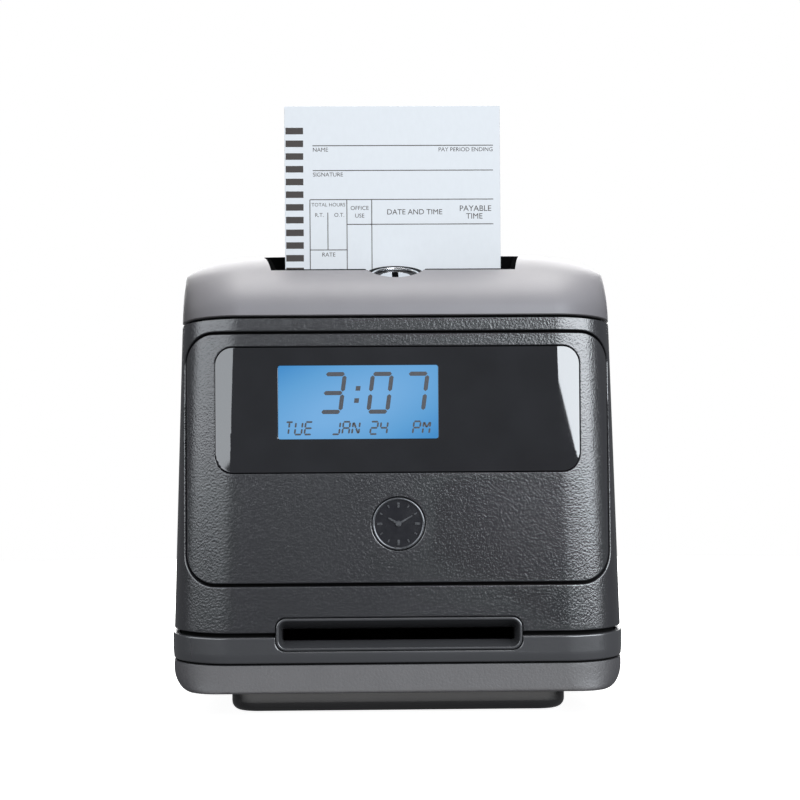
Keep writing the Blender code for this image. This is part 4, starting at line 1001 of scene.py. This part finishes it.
def make_card():
    """The sheet, and everything printed on it: timing marks, rules, then the form's headings."""
    play = Vector((-0.0006, 0.0, 0.0))      # the card rests against the left side of its channel
    bm = block(CARD_LOW + play, CARD_HIGH + play, 0.00012, 1)
    place("card_sheet", bm, "card", "card", "card", "time_card")
    top, front = CARD_HIGH.z, CARD_LOW.y
    bm = bmesh.new()

    def bar(left, low, right, high):
        corners = [(left, low), (right, low), (right, high), (left, high)]
        add_prism(bm, corners, front - 0.00004, front + 0.00002)

    rule = 0.00020
    pitch, count = 0.00599, 36
    for i in range(count):
        high = top - 0.0101 - i * pitch
        bar(-0.0503, high - 0.0031, -0.0420, high)
    left, right = -0.0390, 0.0475
    for z, start in ((0.0186, -0.0376), (0.0303, -0.0376), (0.0440, left)):
        bar(start, top - z - rule, right, top - z + rule)
    foot = top - 0.2150
    for x in (left, -0.0216, -0.0099):
        bar(x - rule, foot, x + rule, top - 0.0440)
    bar(-0.0306 - rule, top - 0.0677, -0.0306 + rule, top - 0.0501)
    bar(-0.0216, top - 0.0557 - rule, right, top - 0.0557 + rule)
    bar(left, top - 0.0677 - rule, -0.0216, top - 0.0677 + rule)
    for i in range(13):
        z = top - 0.0677 - 0.0113 * (i + 1)
        bar(-0.0216, z - rule, right, z + rule)
    for words, size, x, down, align in (
        ("NAME", 0.0027, -0.0376, 0.0214, "LEFT"),
        ("PAY PERIOD ENDING", 0.0027, right, 0.0214, "RIGHT"),
        ("SIGNATURE", 0.0027, -0.0376, 0.0331, "LEFT"),
        ("TOTAL HOURS", 0.00235, -0.0303, 0.0472, "CENTER"),
        ("R.T.", 0.0026, -0.0346, 0.0521, "CENTER"),
        ("O.T.", 0.0026, -0.0252, 0.0521, "CENTER"),
        ("RATE", 0.0027, -0.0303, 0.0708, "CENTER"),
        ("OFFICE", 0.0027, -0.0156, 0.0489, "CENTER"),
        ("USE", 0.0027, -0.0156, 0.0525, "CENTER"),
        ("DATE AND TIME", 0.00355, 0.0103, 0.0511, "CENTER"),
        ("PAYABLE", 0.0038, 0.0390, 0.0496, "CENTER"),
        ("TIME", 0.0037, 0.0385, 0.0532, "CENTER"),
    ):
        bm.from_mesh(text_mesh(words, size, x, top - down, front - 0.00003, align))
    bmesh.ops.translate(bm, vec=play, verts=bm.verts)
    place("card_print", bm, "ink", "card", "card", weighted=False)


# Back

def rear_plate(margin, corner, holes, back, *measures):
    """A plate over the case's back opening, this far inside its edges, with its face at a depth."""
    sides = (REAR_LOW.x + margin, REAR_LOW.z + margin, REAR_HIGH.x - margin, REAR_HIGH.z - margin)
    outer = rounded(*sides, corner, 8)
    bm = plate([outer] + [hole[::-1] for hole in holes], *measures)
    for vert in bm.verts:
        vert.co.y = back - vert.co.y
    return bm


def inlet_hole(gap):
    sides = (INLET_LOW.x - gap, INLET_LOW.z - gap, INLET_HIGH.x + gap, INLET_HIGH.z + gap)
    return rounded(*sides, 0.0006, 4)


def make_rear_cover():
    """The screwed panel with its vents, keyholes and power inlet, and the flange behind it."""
    openings = []
    for i in range(8):
        x = (i - 3.5) * 0.010
        openings.append(rounded(x - VENT_HALF, VENT_BOTTOM, x + VENT_HALF, VENT_TOP, 0.00149, 6))
    for x in KEYHOLES:
        head = arc((x, KEYHOLE_Z), KEYHOLE_HEAD, 119.3, 420.7, 24)
        openings.append(head + arc((x, KEYHOLE_TOP - KEYHOLE_NECK), KEYHOLE_NECK, 0, 180, 8))
    screws = [(x, z) for x in (-0.072, 0.072) for z in (0.056, 0.157)]
    holes = openings + [inlet_hole(GAP)]
    holes += [circle(0.0036, 36, centre) for centre in screws]
    bm = rear_plate(REAR_MARGIN, REAR_CORNER, holes, REAR - STEP_IN * 0.5, 0.0022, 0.0004)
    place("rear_panel", bm, "base", "chassis", "base", "rear_cover")
    # The flange behind the panel is painted shadow, which darkens the gap round the panel's edge.
    holes = openings + [inlet_hole(GAP + 0.0005)]
    bm = rear_plate(0.0005, 0.0090, holes, REAR - FLANGE_DEPTH, FLANGE_THICK, 0.0002, 1)
    place("rear_flange", bm, "shadow", "chassis", "base")
    for side, x in zip(("left", "right"), KEYHOLES):
        make_keyhole_pocket(f"keyhole_pocket_{side}", x)
    for i, (x, z) in enumerate(screws):
        make_screw(f"rear_screw_{i + 1}", (x, REAR - 0.0024, z))
    middle = (INLET_LOW + INLET_HIGH) / 2
    face = (middle.x, REAR - 0.0012, middle.z)
    body = block(INLET_LOW, (INLET_HIGH.x, REAR - 0.0005, INLET_HIGH.z), 0.0004)
    bore = turned([(0.0032, -0.0110), (0.0032, 0.0030), (0.0042, 0.0040)], face, (0, 1, 0), 48)
    place("inlet_housing", subtract(body, bore), "black", "chassis", "black", "power_inlet")
    pin = turned([(0.0009, -0.0100), (0.0009, -0.0012), (0.0005, -0.0006)], face, (0, 1, 0), 24)
    place("inlet_pin", pin, "brass", "chassis", "brass")


def make_keyhole_pocket(name, x):
    """A closed cup behind a wall-hanging keyhole, so that the hole doesn't open into the case. It is painted
    shadow: near-black, as the shade inside the hole.
    """
    wall, depth, half = 0.0008, 0.0060, 0.0065
    mouth = REAR - FLANGE_DEPTH - FLANGE_THICK
    low, high = Vector((x - half, mouth - depth, 0.1265)), Vector((x + half, mouth, 0.1460))
    hollow = block(low + Vector((wall, wall, wall)), high + Vector((-wall, wall, -wall)))
    place(name, subtract(block(low, high, 0.0004), hollow), "shadow", "chassis", "base")


def make_screw(name, centre):
    """A pan head screw with a cross recess, facing back."""
    profile = [(SCREW_RADIUS, -0.0080), (SCREW_RADIUS, -0.0004), (0.0030, -0.0004), (0.0031, 0.0002)]
    profile += arc((0.0016, 0.0002), SCREW_RADIUS, 8, 80, 5)
    body = turned(profile, centre, (0, 1, 0), 40)
    x, y, z = centre
    slots = []
    for across, up in ((0.0018, 0.0003), (0.0003, 0.0018)):
        slots.append(block((x - across, y + 0.0007, z - up), (x + across, y + 0.0030, z + up)))
    place(name, subtract(body, *slots), "steel", "chassis", "steel")


# CAD nodes that stay, in better materials

KEPT = {
    "black": "control_deck exit_chute ribbon_cassette card_sensor buzzer",
    "button": "set_button_1 set_button_2 set_button_3 set_button_4 ribbon_knob",
    "board": "display_board main_board",
    "steel": "lock_keeper lock_cam card_guide_front card_guide_rear side_frame_left side_frame_right "
             "feed_shaft pinch_shaft feed_motor print_head guide_rod_upper guide_rod_lower carriage_bed "
             "carriage_motor",
    "rubber": "feed_roller_left feed_roller_right pinch_roller_left pinch_roller_right print_platen "
              "carriage_belt",
    "acetal": "feed_gear head_carriage drive_pulley idler_pulley",
    "brass": "motor_pinion",
    "battery": "backup_battery",
}


def dress_kept_nodes():
    for finish, nodes in KEPT.items():
        for node in nodes.split():
            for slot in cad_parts[node].material_slots:
                slot.material = FINISHES[finish]


# Studio

def area_light(name, place_at, target, size, power, colour=(1.0, 1.0, 1.0), roll=0.0):
    light = bpy.data.lights.new(name, "AREA")
    light.shape = "RECTANGLE"
    light.size, light.size_y = size
    light.energy = power
    light.color = colour
    made = show(name, light)
    made.location = place_at
    aim = (Vector(target) - Vector(place_at)).to_track_quat("-Z", "Y").to_matrix().to_4x4()
    made.rotation_euler = (aim @ Matrix.Rotation(roll, 4, "Z")).to_euler()
    return made


def make_studio():
    aside = 0.026           # the camera stands this far to the left, and turns back
    camera = bpy.data.cameras.new("camera")
    camera.lens = 99.9
    camera.sensor_width = 36.0
    camera.shift_x, camera.shift_y = 0.0074, 0.056
    made = show("camera", camera)
    made.location = (-aside, FRONT - 1.0, 0.122)
    aim = Matrix.Rotation(-math.atan2(aside, 1.075), 4, "Z") @ Matrix.Rotation(math.radians(90), 4, "X")
    made.rotation_euler = (aim @ Matrix.Rotation(math.radians(-0.38), 4, "Z")).to_euler()
    bpy.context.scene.camera = made
    bpy.context.scene.view_settings.view_transform = "Standard"

    world = bpy.data.worlds.new("studio")
    world.use_nodes = True
    tree = world.node_tree
    surround = tree.nodes["Background"]
    backdrop = tree.nodes.new("ShaderNodeBackground")
    for shade, colour, strength in ((surround, (0.93, 0.95, 1.0), 0.160), (backdrop, (1.0, 1.0, 1.0), 1.0)):
        shade.inputs["Color"].default_value = (*colour, 1.0)
        shade.inputs["Strength"].default_value = strength
    path = tree.nodes.new("ShaderNodeLightPath")
    mix = tree.nodes.new("ShaderNodeMixShader")
    tree.links.new(path.outputs["Is Camera Ray"], mix.inputs["Fac"])
    tree.links.new(surround.outputs[0], mix.inputs[1])
    tree.links.new(backdrop.outputs[0], mix.inputs[2])
    tree.links.new(mix.outputs[0], tree.nodes["World Output"].inputs["Surface"])
    bpy.context.scene.world = world

    bm = bmesh.new()
    bmesh.ops.create_circle(bm, cap_ends=True, segments=96, radius=1.35)
    mesh = mesh_from("floor", bm)
    paper = Finish("floor_paper", (0.90, 0.90, 0.90), 0.85)
    paper.mottle(paper.noise(0.05, 2.0), 0.01)
    paper.set("Emission Color", (1.0, 1.0, 1.0, 1.0))
    paper.set("Emission Strength", 0.95)
    mesh.materials.append(paper.material)
    floor = show("floor", mesh)
    floor.location.z = -0.0002
    floor.visible_glossy = False        # the floor shows as plain white but lights nothing, so that the
    floor.visible_diffuse = False       # walls' lower parts stay as dark as the black drapes would keep them

    middle = (0.0, 0.0, 0.12)
    crown = (0.0, -0.02, 0.20)
    cool = (0.90, 0.95, 1.0)
    area_light("top_softbox", (0.05, 0.25, 1.20), middle, (0.6, 0.9), 10.5, (1.0, 0.985, 0.975))
    area_light("back_panel", (0.0, 1.20, 0.62), crown, (1.2, 0.7), 13.0)
    left = area_light("left_panel", (-0.785, -0.57, 0.54), (0.0, 0.0, 0.42), (1.57, 0.86), 16.0, cool)
    turn = math.radians(-5)
    right = area_light("right_panel", (0.85, -0.85, 0.553), (0.0, 0.0, 0.493), (1.56, 0.86), 42.0, cool, turn)
    fill = area_light("front_fill", (0.35, -0.90, 0.85), crown, (0.5, 0.5), 10.5, (0.86, 0.91, 1.0))
    shoulder = area_light("shoulder_light", (-0.95, 0.10, 0.62), crown, (0.5, 0.5), 0.8)
    card = area_light("card_fill", (0.10, -1.10, 0.50), (0.0, 0.0, 0.24), (0.4, 0.4), 11.0)
    table = area_light("table_bounce", (0.0, -0.19, 0.002), (0.0, -0.19, 1.0), (0.6, 0.22), 0.9)
    table.visible_camera = False
    for light in (left, right):
        reach_only(light, pieces_on("chassis"))
    for light in (fill, shoulder):
        reach_only(light, pieces_on("cover", "lock"))
    reach_only(card, pieces_on("card"))
    reach_only(table, ["base_shell", "foot_shell"])


def pieces_on(*bodies):
    return sorted(name for name, body in BODY_OF.items() if body in bodies)


def reach_only(light, pieces):
    """Let a light reach only these pieces."""
    reached = bpy.data.collections.new("reached_by_" + light.name)
    for name in pieces:
        reached.objects.link(bpy.data.objects[name])
    light.light_linking.receiver_collection = reached


make_case()
make_band()
make_panel()
make_lens()
make_segments()
make_badge()
make_slot()
make_base()
make_foot()
make_cover()
make_throat()
make_lock()
make_card()
make_rear_cover()
dress_kept_nodes()
make_studio()
